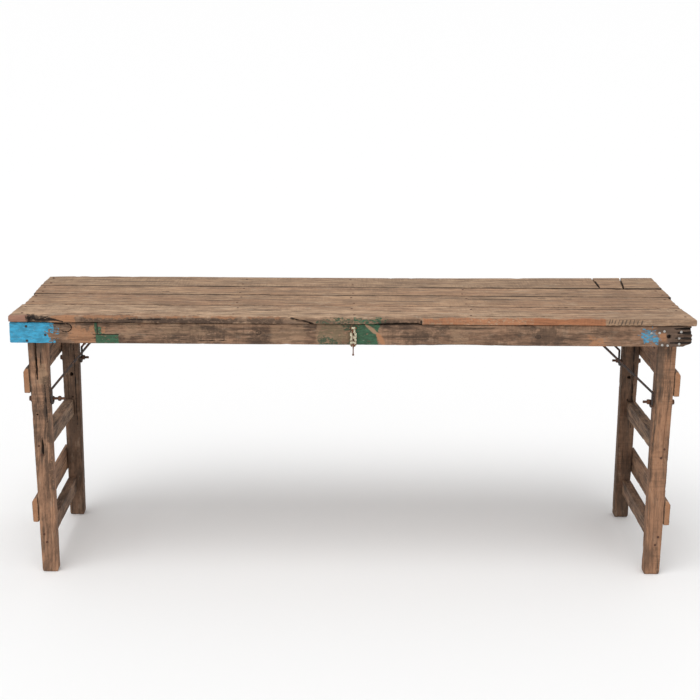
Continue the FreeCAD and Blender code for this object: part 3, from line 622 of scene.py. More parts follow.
def chipped_paint_on_iron(name, paint, rusted):
    """Old cream paint over iron: paint where a coarse noise holds, rusty iron elsewhere."""
    material, g, shader, place = new_material(name)
    metal = g.group(OLD_IRON, Place=place, Bare=(0.06, 0.04, 0.03, 1),
                    Rust=(0.2, 0.075, 0.03, 1), Rusted=0.45)
    holds = g.between(g.noise(place, 140, 5, 0.6), rusted, rusted + 0.06)
    grime = g.mix(g.between(g.noise(place, 320, 4, 0.6), 0.4, 0.75), paint, (0.2, 0.19, 0.1, 1))
    color = g.mix(holds, metal.outputs["Color"], grime)
    height = g.plus(metal.outputs["Height"], g.times(holds, 0.8))
    finish(g, shader, color, metal.outputs["Roughness"], height, 0.6, 0.0007)
    return material


# ---------------------------------------------------------------- the top
front_low, front_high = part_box("plank_front")
rail_low, rail_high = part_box("rail_front")
top_z, edge_z = front_high.z, (front_low.z + front_high.z) / 2
front_y, rail_y = front_low.y, rail_low.y
half_top = front_high.x
plank_half = (front_high.z - front_low.z) / 2


def edge_patch(color, start, end, ragged=0.02, soft=0.002, worn=0.1, strength=0.9,
               low=0.0, high=1.0):
    """A patch on the front plank's edge; low and high are shares of the plank's thickness."""
    level = front_low.z + (low + high) * plank_half
    middle = ((start + end) / 2, front_y, level)
    half = ((end - start) / 2, 0.012, (high - low) * plank_half + 0.001)
    return (color, middle, half, ragged, soft, worn, strength)


def cracks_on_face(y):
    """A maker of dark lines on an upright face, from x and z at both ends, a width and any colour:
    cracks, and on the front plank's edge also lines of painted shade.
    """
    return lambda x, z, end_x, end_z, *rest: ((x, y, z), (end_x, y, end_z), *rest)


edge_dark_line, rail_crack = cracks_on_face(front_y), cracks_on_face(rail_y)


def top_crack(x, depth, end_x, end_depth, width):
    """A crack in the top, from its ends' places along it and behind the front edge."""
    return (x, front_y + depth, top_z), (end_x, front_y + end_depth, top_z), width


def top_mark(x, depth, long=0.011, wide=0.003):
    """A dark gouge in the top: its place along it, and its distance behind the front edge."""
    return (DIRT_AND_SHADE, (x, front_y + depth, top_z), (long, wide, 0.004), 0.006, 0.002, 0.2, 0.85)


def seam_mark(node, wide, worn):
    """A dark line on the top where a plank meets the one behind it."""
    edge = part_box(node)[1].y
    return (DIRT_AND_SHADE, (0, edge, top_z), (2, wide, 0.012), 0.008, 0.002, worn, 0.92)


SEAMS = (seam_mark("plank_front", 0.002, 0.36), seam_mark("plank_mid_front", 0.0046, 0.1),
         seam_mark("plank_mid_back", 0.0052, 0.1))
patch_low, patch_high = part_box("plank_back_patch")
end_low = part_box("plank_back_end")[0]
BACK_SEAMS = (
    ((patch_low.x, patch_low.y, top_z + 0.005), (patch_low.x, patch_high.y, top_z + 0.008), 0.004),
    ((end_low.x, patch_low.y, top_z + 0.005), (patch_high.x, patch_high.y, top_z + 0.008), 0.004),
)
BROWNED_END = ((0.31, 0.18, 0.11, 1), (0.9, 0, top_z), (0.32, 1, 0.004), 0.4, 0.14, 0.3, 0.4)
EDGE_BROWN = (0.20, 0.125, 0.083, 1)
PINK_WOOD = (0.35, 0.175, 0.125, 1)
RED_WOOD = (0.42, 0.165, 0.075, 1)
split_top, split_low = front_high.z - 0.003, front_low.z + 0.001
EDGE_CRACKS_AND_SHADE_LINES = (
    edge_dark_line(-0.182, split_top, -0.150, edge_z + 0.002, 0.003),
    edge_dark_line(-0.150, edge_z + 0.002, -0.108, split_low, 0.0024),
    # painted shade: a broad dark line along the plank's underside where its lower edge is broken out,
    # and a short upright one at the step's end, stand for the shadow gap between plank and apron
    edge_dark_line(0.060, front_low.z, 0.188, front_low.z + 0.001, 0.0055),
    edge_dark_line(0.187, front_low.z, 0.187, front_low.z + 0.013, 0.003),
    # partly real splits, partly painted shade: these dark lines at the broken left end also stand for
    # the shadowed cavities under the top layer
    edge_dark_line(-0.893, top_z - 0.002, -0.878, top_z - 0.008, 0.006),
    edge_dark_line(-0.880, top_z - 0.011, -0.822, top_z - 0.013, 0.003),
    edge_dark_line(-0.850, top_z - 0.006, -0.80, top_z - 0.016, 0.0028),
    edge_dark_line(-0.62, edge_z, -0.53, edge_z + 0.001, 0.0018),
) + tuple(
    edge_dark_line(x, front_low.z + 0.004, x + 0.004, front_high.z - 0.002, 0.0018, DEEP_GREY)
    for x in 0.705 + 0.09 * np.linspace(0, 1, 10) ** 1.15
)
TOP_CRACKS = (
    top_crack(-0.895, 0, -0.890, 0.014, 0.005),
    top_crack(0.28, 0.026, 0.62, 0.034, 0.004),
    top_crack(-0.66, 0.05, -0.60, 0.05, 0.003),
    top_crack(0.52, 0.125, 0.90, 0.136, 0.004),
    top_crack(-0.30, 0.09, -0.20, 0.092, 0.0025),
)
# colour, start, end, ragged, soft, worn, strength, low, high
EDGE_PATCHES = tuple(edge_patch(*row) for row in (
    (EDGE_BROWN, -0.83, 0.19, 0.02, 0.003, 0.2, 0.85, 0, 0.9),
    (DEEP_BROWN, -0.76, -0.20, 0.06, 0.004, 0.42, 0.75, 0, 0.75),
    (DEEP_BROWN, -0.64, -0.36, 0.05, 0.004, 0.4, 0.7, 0, 0.7),
    (DEEP_BROWN, 0.07, 0.19, 0.05, 0.004, 0.38, 0.7, 0, 0.8),
    (FRESH_WOOD, -0.80, -0.19, 0.025, 0.002, 0.42, 0.8, 0.84, 1.4),
    (TAN_WOOD, -0.19, 0.19, 0.03, 0.003, 0.3, 0.7, 0.7, 1.3),
    (DULL_GREEN, -0.105, 0.0, 0.03, 0.0006, 0.48, 2, 0, 0.7),
    (GREEN_PAINT, 0.0, 0.075, 0.03, 0.0006, 0.46, 2, 0.15, 0.8),
    (DULL_GREEN, 0.068, 0.16, 0.04, 0.0006, 0.56, 2, 0.3, 0.72),
    (RED_WOOD, 0.188, 0.50, 0.03, 0.003, 0.42, 0.75),
    (RED_WOOD, 0.50, 0.697, 0.015, 0.002, 0.25),
    (TAN_WOOD, 0.70, 0.80, 0.02, 0.003, 0.3, 0.6),
    (PINK_WOOD, -0.96, -0.893, 0.012, 0.002, 0.25, 0.85),
    (DEEP_BROWN, -0.893, -0.835, 0.03, 0.003, 0.36, 0.6, 0, 0.5),
    # painted shade: this dark band on the upper part of the broken-away left edge stands for the shadow
    # in the cavity under the overhanging top layer
    (DIRT_AND_SHADE, -0.893, -0.815, 0.05, 0.003, 0.42, 0.85, 0.3, 0.85),
    (FRESH_WOOD, -0.835, -0.765, 0.02, 0.002, 0.3, 0.85, 0.1, 1.2),
))
TOP_MARKS = (top_mark(-0.42, 0.03, 0.012, 0.002), top_mark(0.12, 0.09, 0.014, 0.002))
TOP_FRONT = wood("Front plank", 0, GREY_TOP, DEEP_TOP, warmth=0.5, age=0.4, bleached=0.38, sawn=0.22,
                 cracks=EDGE_CRACKS_AND_SHADE_LINES, top_cracks=TOP_CRACKS,
                 patches=(BROWNED_END, SEAMS[0]) + EDGE_PATCHES + TOP_MARKS,
                 edge_color=WARM_WOOD, edge_amount=0.5)
TOP_WOOD = wood("Top planks", 0, BROWN_TOP, DEEP_TOP, warmth=0.45, age=0.5, edge_amount=0.9, sawn=0.22,
                bleached=0.3, top_cracks=BACK_SEAMS + (
                    top_crack(-0.50, 0.22, -0.32, 0.223, 0.003),
                    top_crack(0.30, 0.26, 0.48, 0.258, 0.003),
                    top_crack(0.02, 0.40, 0.20, 0.402, 0.003),
                ), patches=(BROWNED_END,) + SEAMS + (
                    top_mark(0.556, 0.275), top_mark(0.632, 0.275),
                    top_mark(0.556, 0.345), top_mark(0.634, 0.350),
                    top_mark(-0.555, 0.275, 0.014), top_mark(-0.655, 0.235, 0.012),
                    top_mark(-0.555, 0.345, 0.01), top_mark(0.02, 0.40, 0.012),
                ))
TOP_BACK = wood("Back planks", 0, (0.45, 0.295, 0.185, 1), DEEP_TOP, warmth=0.25, age=0.55,
                edge_amount=0.9, bleached=0.25, patches=SEAMS, top_cracks=BACK_SEAMS)


# places along the front edge: the left block's end, the broken part's end, the long split,
# the let-in strip's start, and the saw ridges
BLOCK_END, BROKEN_END, SPLIT_AT, STRIP_START = -0.893, -0.80, -0.185, 0.186
RIDGES_START, RIDGES_END, RIDGE_PITCH = 0.70, 0.795, 9 * mm


def worn_front(place, facing):
    """The front plank's wear along its front edge.

    A block at the left end is whole and the edge beside it is broken away. The upper arris is
    planed down by use, the lower one is broken out left of a let-in strip, a long split slants
    down near the middle, and saw ridges cross the edge near its right end.
    """
    along, depth, up = place[..., 0], place[..., 1] - front_y, place[..., 2]
    near = np.exp(-np.clip(depth, 0, None) / (9 * mm))
    wide = np.exp(-np.clip(depth, 0, None) / (16 * mm))
    share = np.clip((up - front_low.z) / (front_high.z - front_low.z), 0, 1)
    ragged = 0.75 + 0.5 * rough(along * 34, up * 60, 61)
    worn_arris = window(along, -0.79, SPLIT_AT, 0.03) * 4.5 * mm
    worn_arris = worn_arris + window(along, SPLIT_AT, STRIP_START, 0.01) * 6.5 * mm
    worn_arris = worn_arris + window(along, STRIP_START, 0.96, 0.01) * 1.2 * mm
    slope = worn_arris * near * share**2 * ragged
    eroded = window(along, BLOCK_END, BROKEN_END, 0.012)
    eroded = eroded * (1 - 0.7 * np.clip((along + 0.85) / 0.05, 0, 1))
    eroded = eroded * 9 * mm * wide * ragged
    place = place.copy()
    place[..., 2] -= slope + eroded * share
    place[..., 1] += slope * 0.9 + eroded * 0.45 * share**2
    broken = np.clip((along - 0.05) / 0.136, 0, 1) * (along < STRIP_START) * near * (1 - share) ** 0.7
    place[..., 1] += 9 * mm * broken
    place[..., 2] += 5 * mm * broken * (facing[..., 2] < 0.1)
    bulge = window(along, -0.83, -0.785, 0.03) * near * (1 - share)
    place[..., 1] -= 3 * mm * bulge
    place = dent(place, facing, (0.3, front_y, top_z), (0.1, 0.006, 0.006), 2 * mm)
    place = dent(place, facing, (-0.888, front_y, top_z - 0.004), (0.006, 0.02, 0.012), 8 * mm)
    place = split(place, facing, 0, (-0.182, front_y, top_z - 0.003),
                  (-0.115, front_y, front_low.z + 0.002), 2.4 * mm, 7 * mm, 5, side=1)
    place = split(place, facing, 0, (-0.93, front_y + 0.03, top_z), (-0.75, front_y + 0.036, top_z),
                  1.6 * mm, 4 * mm, 5)
    place = split(place, facing, 0, (0.28, front_y + 0.028, top_z), (0.62, front_y + 0.035, top_z),
                  1.6 * mm, 4 * mm, 7)
    front = np.exp(-((place[..., 1] - front_y) / (6 * mm)) ** 2)
    cuts = window(place[..., 0], RIDGES_START, RIDGES_END, 0.01) * front
    ridges = 1.6 * mm * cuts * (0.5 + 0.5 * np.sin(place[..., 0] * 2 * np.pi / RIDGE_PITCH))
    return place - facing * ridges[..., None]


def warped_back(place, facing):
    """The back row is sprung: it rises towards its right end and droops at its left corner."""
    along = place[..., 0] / half_top
    behind = np.clip((place[..., 1] + front_y * 0.25) / (-front_y * 1.25), 0, 1)
    rise = 11 * mm * np.clip((along - 0.1) / 0.9, 0, 1) ** 1.3
    droop = 4 * mm * np.clip((-along - 0.86) / 0.14, 0, 1) ** 2
    share = np.clip((place[..., 2] - front_low.z) / (top_z - front_low.z), 0, 1)
    place = place.copy()
    place[..., 2] += (rise * (0.4 + 0.6 * share) - droop * share) * behind
    return place


def slant_ends(start, end, seed, chipped=(3 * mm, 3 * mm)):
    """Sawn ends that drift from square: each end's amount changes evenly across the top.

    start and end give the amounts at the top's front and back; chipped is how ragged they are.
    """
    def ends(across, up):
        share = across / 0.58 + 0.5
        ragged = np.abs(noise(across * 24, 0.5, seed))
        return (start[0] + (start[1] - start[0]) * share + chipped[0] * ragged,
                end[0] + (end[1] - end[0]) * share - chipped[1] * ragged)
    return ends


board("plank_front", TOP_FRONT, 0, 3, step=6 * mm, counts=(70, 9), worn=2 * mm,
      ends=slant_ends((0, 0.025), (0, -0.04), 3), shaping=worn_front)
board("plank_mid_front", TOP_WOOD, 0, 5, counts=(50, 6), worn=1.6 * mm,
      ends=slant_ends((0, 0.012), (0, -0.012), 5))
board("plank_mid_back", TOP_WOOD, 0, 8, counts=(45, 6), worn=1.6 * mm,
      ends=slant_ends((0.006, -0.002), (-0.002, 0.0), 8))
board("plank_back", TOP_BACK, 0, 13, counts=(50, 6), worn=1.8 * mm,
      ends=slant_ends((0.0, 0.002), (0, 0), 13, (3 * mm, 0)), shaping=warped_back)
board("plank_back_patch", TOP_WOOD, 0, 21, step=5 * mm, counts=(50, 6), worn=1.6 * mm,
      ends=slant_ends((0, 0), (-0.0615, 0), 21, (0, 0)), shaping=warped_back)
board("plank_back_end", TOP_BACK, 0, 34, step=5 * mm, counts=(50, 6), worn=1.8 * mm,
      ends=slant_ends((-0.0455, 0.016), (0, -0.003), 34, (0, 3 * mm)), shaping=warped_back)

# ---------------------------------------------------------------- the apron
apron_top, apron_under = rail_high.z, rail_low.z
apron_mid = (apron_top + apron_under) / 2
apron_half = (apron_top - apron_under) / 2


def rail_patch(color, start, end, low, high, ragged, worn, strength=0.85, soft=0.004):
    """A patch on the front rail's face; low and high are shares of its height."""
    middle_z = apron_under + (low + high) * apron_half
    half_z = (high - low) * apron_half
    return (color, ((start + end) / 2, rail_y, middle_z),
            ((end - start) / 2, 0.01, half_z + 0.001), ragged, soft, worn, strength)


DARK_END = (0.125, 0.083, 0.06, 1)
DULL_BLUE = (0.10, 0.32, 0.48, 1)
PAINT = 2
SHARP = 0.0007
# colour, start, end, low, high, ragged, worn, strength, soft
RAIL_PATCHES = tuple(rail_patch(*row) for row in (
    # bare and stained wood
    (FRESH_WOOD, -0.79, -0.705, 0.05, 0.6, 0.1, 0.38, 0.7),
    (DEEP_BROWN, -0.56, -0.33, 0.0, 0.45, 0.26, 0.42, 0.6, 0.014),
    (TAN_WOOD, -0.62, -0.42, 0.6, 0.95, 0.09, 0.38, 0.6, 0.01),
    (DEEP_BROWN, -0.29, -0.245, 0.3, 0.6, 0.3, 0.44, 0.6, 0.012),
    (TAN_WOOD, -0.225, -0.135, 0.1, 0.9, 0.05, 0.3, 0.55, 0.006),
    (TAN_WOOD, -0.10, -0.012, 0.1, 1.1, 0.03, 0.3, 0.6, 0.004),
    (STAINED_GREEN, -0.085, 0.0, 0.0, 1.0, 0.05, 0.42, 0.5, 0.004),
    (DEEP_BROWN, 0.11, 0.25, 0.25, 0.75, 0.18, 0.34, 0.75, 0.022),
    (TAN_WOOD, 0.27, 0.35, 0.2, 0.8, 0.12, 0.38, 0.7, 0.012),
    (DEEP_BROWN, 0.45, 0.59, 0.4, 0.6, 0.18, 0.36, 0.7, 0.022),
    (DEEP_BROWN, 0.73, 0.76, 0.3, 0.7, 0.12, 0.36, 0.5, 0.02),
    (FRESH_WOOD, 0.655, 0.70, -0.1, 0.45, 0.05, 0.4, 0.8),
    (DARK_END, 0.843, 0.98, -0.2, 1.2, 0.04, 0.25, 0.85, 0.006),
    (FRESH_WOOD, 0.848, 0.866, 0.35, 0.62, 0.02, 0.3),
    # paint
    (BLUE_PAINT, -0.98, -0.834, -0.2, 1.2, 0.03, 0.3, PAINT, SHARP),
    (BLUE_PAINT, -0.852, -0.820, -0.1, 1.1, 0.04, 0.44, PAINT, SHARP),
    (BLUE_PAINT, -0.835, -0.808, 0.1, 0.9, 0.05, 0.53, PAINT, SHARP),
    (GREEN_PAINT, -0.712, -0.650, -0.1, 0.42, 0.012, 0.4, PAINT, SHARP),
    (GREEN_PAINT, -0.712, -0.697, 0.4, 1.05, 0.014, 0.42, PAINT, SHARP),
    (GREEN_PAINT, 0.004, 0.066, -0.1, 1.0, 0.03, 0.36, PAINT, SHARP),
    (DULL_GREEN, -0.03, 0.004, 0.55, 1.0, 0.04, 0.48, PAINT, SHARP),
    (DULL_GREEN, -0.088, 0.004, -0.1, 0.24, 0.04, 0.47, PAINT, SHARP),
    (DULL_BLUE, 0.806, 0.836, 0.18, 0.8, 0.07, 0.45, PAINT, SHARP),
))
inlay_low, inlay_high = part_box("rail_inlay")


def joint_line(start_x, end_x, start_z, end_z):
    """The dark line of a joint on the front rail's face."""
    middle = ((start_x + end_x) / 2, rail_y, (start_z + end_z) / 2)
    half = ((end_x - start_x) / 2 + 0.0012, 0.02, (end_z - start_z) / 2 + 0.0012)
    return (DIRT_AND_SHADE, middle, half, 0.002, 0.0007, 0.1, 0.95)


JOINT_LINES = (
    joint_line(inlay_low.x, inlay_low.x, inlay_low.z, inlay_high.z),
    joint_line(inlay_low.x - 0.012, inlay_high.x - 0.004, inlay_low.z, inlay_low.z),
)
CURL_TURNS = np.linspace(0.45 * np.pi, -0.75 * np.pi, 8)
CURL_LINE = [(-0.793 + 0.016 * np.cos(turn), rail_y, apron_top - 0.015 + 0.012 * np.sin(turn))
             for turn in CURL_TURNS]
CURL = tuple((start, end, 0.0019) for start, end in zip(CURL_LINE, CURL_LINE[1:]))
RAIL_CRACKS = (
    rail_crack(-0.83, apron_top - 0.002, -0.795, apron_top - 0.004, 0.0026),
) + CURL + (
    rail_crack(-0.43, apron_under + 0.010, -0.34, apron_under + 0.012, 0.001),
    rail_crack(0.034, apron_top - 0.002, 0.070, apron_mid, 0.006, TAN_WOOD),
    rail_crack(0.066, apron_mid + 0.004, 0.086, apron_under, 0.008, FRESH_WOOD),
    rail_crack(0.890, apron_top - 0.008, 0.96, apron_top - 0.006, 0.004),
    rail_crack(0.900, apron_top - 0.020, 0.96, apron_top - 0.021, 0.0045),
    rail_crack(0.893, apron_under + 0.026, 0.96, apron_under + 0.024, 0.004),
    rail_crack(0.880, apron_under + 0.012, 0.96, apron_under + 0.014, 0.004),
)
RAIL_KNOTS = (
    ((-0.262, rail_y, apron_mid + 0.004), (0.007, 0.03, 0.006)),
    ((0.512, rail_y, apron_mid - 0.004), (0.008, 0.03, 0.005)),
)
RAIL_WOOD = wood("Front rail", 0, (0.37, 0.225, 0.142, 1), DEEP_BROWN, warmth=0.4, age=0.55,
                 sawn=0.28, patches=RAIL_PATCHES + JOINT_LINES, knots=RAIL_KNOTS,
                 cracks=RAIL_CRACKS)
APRON_WOOD = wood("Apron", 0, PALE_BROWN, DEEP_BROWN, warmth=0.35, age=0.8)
CROSS_WOOD = wood("Cross pieces", 1, PALE_BROWN, DEEP_BROWN, warmth=0.35, age=0.7)


def worn_rail(place, facing):
    """The front rail's knot near its left end, a few gouges and its splintered right end.

    The right end is broken into layers of uneven length, and its lower corner is gone.
    """
    along, level = place[..., 0], (place[..., 2] - apron_under) / (2 * apron_half)
    at_end = np.clip((along - (rail_high.x - 0.03)) / 0.03, 0, 1)
    layers = 7 * mm * (0.5 + 0.5 * noise(level * 9, 0.5, 91)) + 3 * mm * noise(level * 31, 0.5, 92)
    corner = np.clip(0.16 - level, 0, 1) / 0.16
    place = place.copy()
    place[..., 0] -= at_end * (np.clip(layers, 0, None) + 12 * mm * corner)
    place[..., 2] += 6 * mm * corner * np.clip((along - (rail_high.x - 0.02)) / 0.02, 0, 1)
    place = dent(place, facing, (-0.797, rail_y, apron_top - 0.012), (0.016, 0.02, 0.012), -3.5 * mm)
    place = dent(place, facing, (-0.781, rail_y, apron_top - 0.016), (0.004, 0.02, 0.014), 3 * mm)
    place = dent(place, facing, (0.51, rail_y, apron_mid - 0.004), (0.01, 0.01, 0.008), 2.5 * mm)
    place = dent(place, facing, (0.30, rail_y, apron_under), (0.06, 0.01, 0.006), 3 * mm)
    for height in (0.3, 0.5, 0.68, 0.86):
        level = apron_under + height * 2 * apron_half
        place = split(place, facing, 0, (0.89, rail_y, level), (0.955, rail_y, level + 0.003),
                      1.6 * mm, 6 * mm, int(height * 100))
    return place


front_rail = board("rail_front", RAIL_WOOD, 0, 55, step=6 * mm, counts=(10, 34), worn=1.5 * mm,
                   shaping=worn_rail)
back_rail = board("rail_back", APRON_WOOD, 0, 89, counts=(10, 20), worn=1.5 * mm)
for name, side in SIDES:
    rod_low, rod_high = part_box(f"pivot_rod_{name}")
    pivot = np.array(rod_low + rod_high) / 2
    radius = (rod_high.x - rod_low.x) / 2
    for rail, y in ((front_rail, rod_low.y), (back_rail, -rail_y)):
        if rail is back_rail or side > 0:
            bore(rail, np.array([pivot[0], y, pivot[2]]), (0, 1, 0), radius, 12 * mm)
    board(f"end_rail_{name}", CROSS_WOOD, 1, 60 + side, counts=(12, 6))
for name, seed in (("left", 71), ("middle", 72), ("right", 73)):
    board(f"batten_{name}", CROSS_WOOD, 1, seed, counts=(6, 12))

INLAY_WOOD = wood("Let-in piece", 0, PALE_BROWN, DEEP_BROWN, warmth=0.3, age=0.6, sawn=0.5,
                  patches=JOINT_LINES, edge_amount=0.9)
board("rail_inlay", INLAY_WOOD, 0, 77, step=2 * mm, corner=1 * mm, counts=(6, 20),
      worn=1 * mm)

# ---------------------------------------------------------------- the leg frames
LEAN = {"left": (0.0225, 0.013), "right": (0.016, 0.014)}
bolt_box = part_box("leg_bolt_front_left")
bolt_z = (bolt_box[0].z + bolt_box[1].z) / 2
MID_RAIL_TILT = {"left": 9 * mm, "right": 6 * mm}


def leaned(place, name, side):
    """Lean a frame's wood: its foot goes inward and its head outward, turning about the bolts.

    The front and back legs lean by their own slopes, and rails change evenly between them.
    Behind the apron the lean eases away, so that the leg's round head stays on its pivot.
    """
    hidden = np.clip((place[..., 2] - apron_under) / (apron_mid - apron_under), 0, 1)
    amount = lean_at(name, place[..., 1], place[..., 2])
    place = place.copy()
    place[..., 0] += side * amount * (1 - hidden * hidden * (3 - 2 * hidden))
    return place


def lean_at(name, y, z):
    """How far outward a frame's wood stands at a place."""
    share = np.clip(y / (2 * -rail_y) + 0.5, 0, 1)
    front, back = LEAN[name]
    return (front + (back - front) * share) * (z - bolt_z)


# height, radius and depth of the empty holes in each back leg
OLD_HOLES = ((0.465, 6 * mm, 20 * mm), (0.391, 3 * mm, 9 * mm))
# colour, warmth and age; the back legs' colours are about half as bright as the front ones, painted
# shade for the shadow under the top
LEG_TONES_BACK_SHADED = {
    ("front", "left"): ((0.43, 0.24, 0.145, 1), 0.55, 0.35),
    ("front", "right"): ((0.40, 0.21, 0.118, 1), 0.7, 0.2),
    ("back", "left"): ((0.20, 0.12, 0.077, 1), 0.2, 0.7),
    ("back", "right"): ((0.21, 0.12, 0.074, 1), 0.2, 0.7),
}


# a foot is 46 mm wide where the leg is 56 mm
FOOT_SHARE = 1 - 46 / 56


def leg_outline(side, half, length):
    """A leg's two edges along its length: round at the top, straight outside, tapered inside."""
    def outline(share):
        drop = (1 - share) * length
        round_top = np.sqrt(np.clip(1 - (1 - np.clip(drop / half, 0, 1)) ** 2, 0.0004, 1))
        worn_foot = 1 - 0.1 * np.clip(1 - share * length / (9 * mm), 0, 1) ** 2
        outer = half * round_top * worn_foot
        inner = (half - 2 * half * FOOT_SHARE * (1 - share)) * round_top * worn_foot
        low, high = (-inner, outer) if side > 0 else (-outer, inner)
        return low, high
    return outline


def leg(face_name, face, name, side):
    """A leg: tapered inside, round at its head, with its own tone (on a back leg darkened as painted
    shade), cracks and old holes.
    """
    node = f"leg_{face_name}_{name}"
    low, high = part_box(node)
    half, length = (high.x - low.x) / 2, high.z - low.z
    pale, warmth, age = LEG_TONES_BACK_SHADED[face_name, name]
    front_y = low.y
    leg_crack = cracks_on_face(front_y)
    middle = (low.x + high.x) / 2
    patches, cracks = (), ()

    def leg_patch(color, across, z, half_x, half_z, *rest):
        """A patch on the leg's face, from its place beside the middle line and its height."""
        return (color, (middle + across, front_y, z), (half_x, 0.01, half_z), *rest)

    if (face_name, name) == ("front", "left"):
        patches = (
            leg_patch(TAN_WOOD, 0.006, 0.592, 0.010, 0.030, 0.03, 0.003, 0.3, 0.8),
            leg_patch(DEEP_GREY, -0.004, 0.665, 0.022, 0.036, 0.03, 0.006, 0.3, 0.6),
            leg_patch(DEEP_BROWN, 0.018, 0.53, 0.009, 0.05, 0.03, 0.004, 0.4, 0.7),
            leg_patch(DEEP_BROWN, 0.022, 0.33, 0.006, 0.08, 0.02, 0.004, 0.4, 0.7),
        )
        cracks = (
            leg_crack(middle - 0.010, 0.70, middle - 0.008, 0.575, 0.0036),
            leg_crack(middle + 0.004, 0.66, middle + 0.003, 0.60, 0.002),
            leg_crack(middle - 0.001, 0.398, middle, 0.350, 0.0032),
            leg_crack(middle + 0.012, 0.56, middle + 0.016, 0.45, 0.0018),
        )
    if (face_name, name) == ("front", "right"):
        patches = (
            leg_patch(DEEP_GREY, -0.014, 0.62, 0.013, 0.07, 0.03, 0.006, 0.35, 0.7),
            leg_patch(WARM_WOOD, 0.004, 0.30, 0.018, 0.22, 0.03, 0.01, 0.3, 0.5),
        )
    if face > 0:
        cracks = (leg_crack(middle + 0.010, 0.60, middle + 0.013, 0.30, 0.0018),)
    material = wood(f"Leg {face_name} {name}", 2, pale, DEEP_BROWN, warmth=warmth, age=age,
                    sawn=0.3, patches=patches, cracks=cracks)

    def shaping(place, facing):
        if face < 0 and side < 0:
            place = split(place, facing, 2, (middle - 0.006, front_y, 0.575),
                          (middle - 0.010, front_y, 0.70), 2.2 * mm, 14 * mm, 4, side=1)
            place = dent(place, facing, (middle + 0.006, front_y, 0.61), (0.008, 0.01, 0.01), 6 * mm)
            place = split(place, facing, 2, (middle - 0.002, front_y, 0.345),
                          (middle - 0.0035, front_y, 0.40), 2.2 * mm, 9 * mm, 8, side=1)
        else:
            place = split(place, facing, 2, (middle + 0.01 * side, front_y, 0.35),
                          (middle + 0.014 * side, front_y, 0.52), 1.2 * mm, 4 * mm, 9, side=1)
        return leaned(place, name, side)

    piece = board(node, material, 2, 100 + 7 * side + 3 * face, step=5 * mm, counts=(30, 18),
                  worn=1.8 * mm, outline=leg_outline(side, half, length),
                  shaping=shaping, body=f"{name}_frame")
    if face > 0:
        for height, radius, deep in OLD_HOLES:
            shift = side * lean_at(name, front_y, height)
            bore(piece, np.array([middle + shift, front_y, height]), (0, 1, 0), radius, deep)
    elif side < 0:
        bore(piece, np.array([middle - 0.012, front_y, 0.472]), (0, 1, 0), 3 * mm, 15 * mm)


RAIL_TONES = {"outer_rail_upper": ((0.36, 0.215, 0.135, 1), 0.6),
              "mid_rail": ((0.37, 0.24, 0.155, 1), 0.25),
              "outer_rail_lower": ((0.36, 0.215, 0.135, 1), 0.45),
              "low_rail": ((0.30, 0.185, 0.12, 1), 0.3)}
for name, side in SIDES:
    for face_name, face in FACES:
        leg(face_name, face, name, side)
    for k, (kind, (pale, warmth)) in enumerate(RAIL_TONES.items()):
        finish_of_rail = wood(f"{kind} {name}", 1, pale, DEEP_BROWN, warmth=warmth, age=0.45,
                              end_color=FRESH_WOOD, end_amount=0.75)
        node = f"{kind}_{name}"
        low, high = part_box(node)
        bevel_z, outer_x, high_y = high.z, (low.x if side < 0 else high.x), high.y

        def shape_rail(place, facing):
            """Plane off an outer rail's upper outer arris, tilt a middle rail, lean them all.

            What is past the slanting plane of the bevel moves square to it, onto it.
            """
            place = place.copy()
            if "outer" in kind:
                out = (place[..., 0] - outer_x) * side + 9 * mm
                over = np.clip((place[..., 2] - bevel_z) * 0.62 + out, 0, None)
                place[..., 0] -= side * over * 0.72
                place[..., 2] -= over * 0.45
            if kind == "mid_rail":
                place[..., 2] -= MID_RAIL_TILT[name] * place[..., 1] / high_y
            return leaned(place, name, side)

        board(node, finish_of_rail, 1, 130 + 9 * k + side, step=6 * mm, counts=(24, 10),
              worn=1.6 * mm, shaping=shape_rail, body=f"{name}_frame")

# ---------------------------------------------------------------- iron
DARK_IRON = iron("Dark iron", (0.055, 0.045, 0.042, 1), (0.16, 0.07, 0.035, 1), 0.24)
BOLT_IRON = iron("Bolt iron", (0.055, 0.042, 0.037, 1), (0.19, 0.08, 0.04, 1), 0.34)
# painted shade: the pivot rods' ends sit deep in their holes, and their near-black iron makes the holes
# read as dark shadow
PIVOT_IRON_BLACKED_AS_SHADE = iron("Pivot iron blacked as hole shade", (0.012, 0.010, 0.009, 1), (0.02, 0.013, 0.01, 1), 0.24)
NAIL_IRON = iron("Nail iron", (0.045, 0.035, 0.03, 1), (0.12, 0.05, 0.03, 1), 0.40)


def nails_of_two_ages(name):
    """The front rail's nails: newer bright heads at its right end, dark ones at its left."""
    material, g, shader, place = new_material(name)
    metal = g.group(OLD_IRON, Place=place, Bare=(0.5, 0.48, 0.45, 1),
                    Rust=(0.16, 0.1, 0.07, 1), Rusted=0.22)
    newer = g.between(g.node("SeparateXYZ", {0: place}).outputs[0], -0.1, 0.1)
    color = g.mix(newer, (0.035, 0.025, 0.02, 1), metal.outputs["Color"])
    finish(g, shader, color, metal.outputs["Roughness"], metal.outputs["Height"], 0.5, 0.0006,
           g.times(newer, metal.outputs["Metallic"]))
    return material


RAIL_NAILS = nails_of_two_ages("Rail nails")
HASP_PAINT = chipped_paint_on_iron("Hasp paint", (0.66, 0.60, 0.44, 1), 0.45)
RUSTY_WIRE = iron("Rusty wire", (0.06, 0.04, 0.035, 1), (0.24, 0.08, 0.03, 1), 0.42)


NUT_CORNER = 7.5 * mm


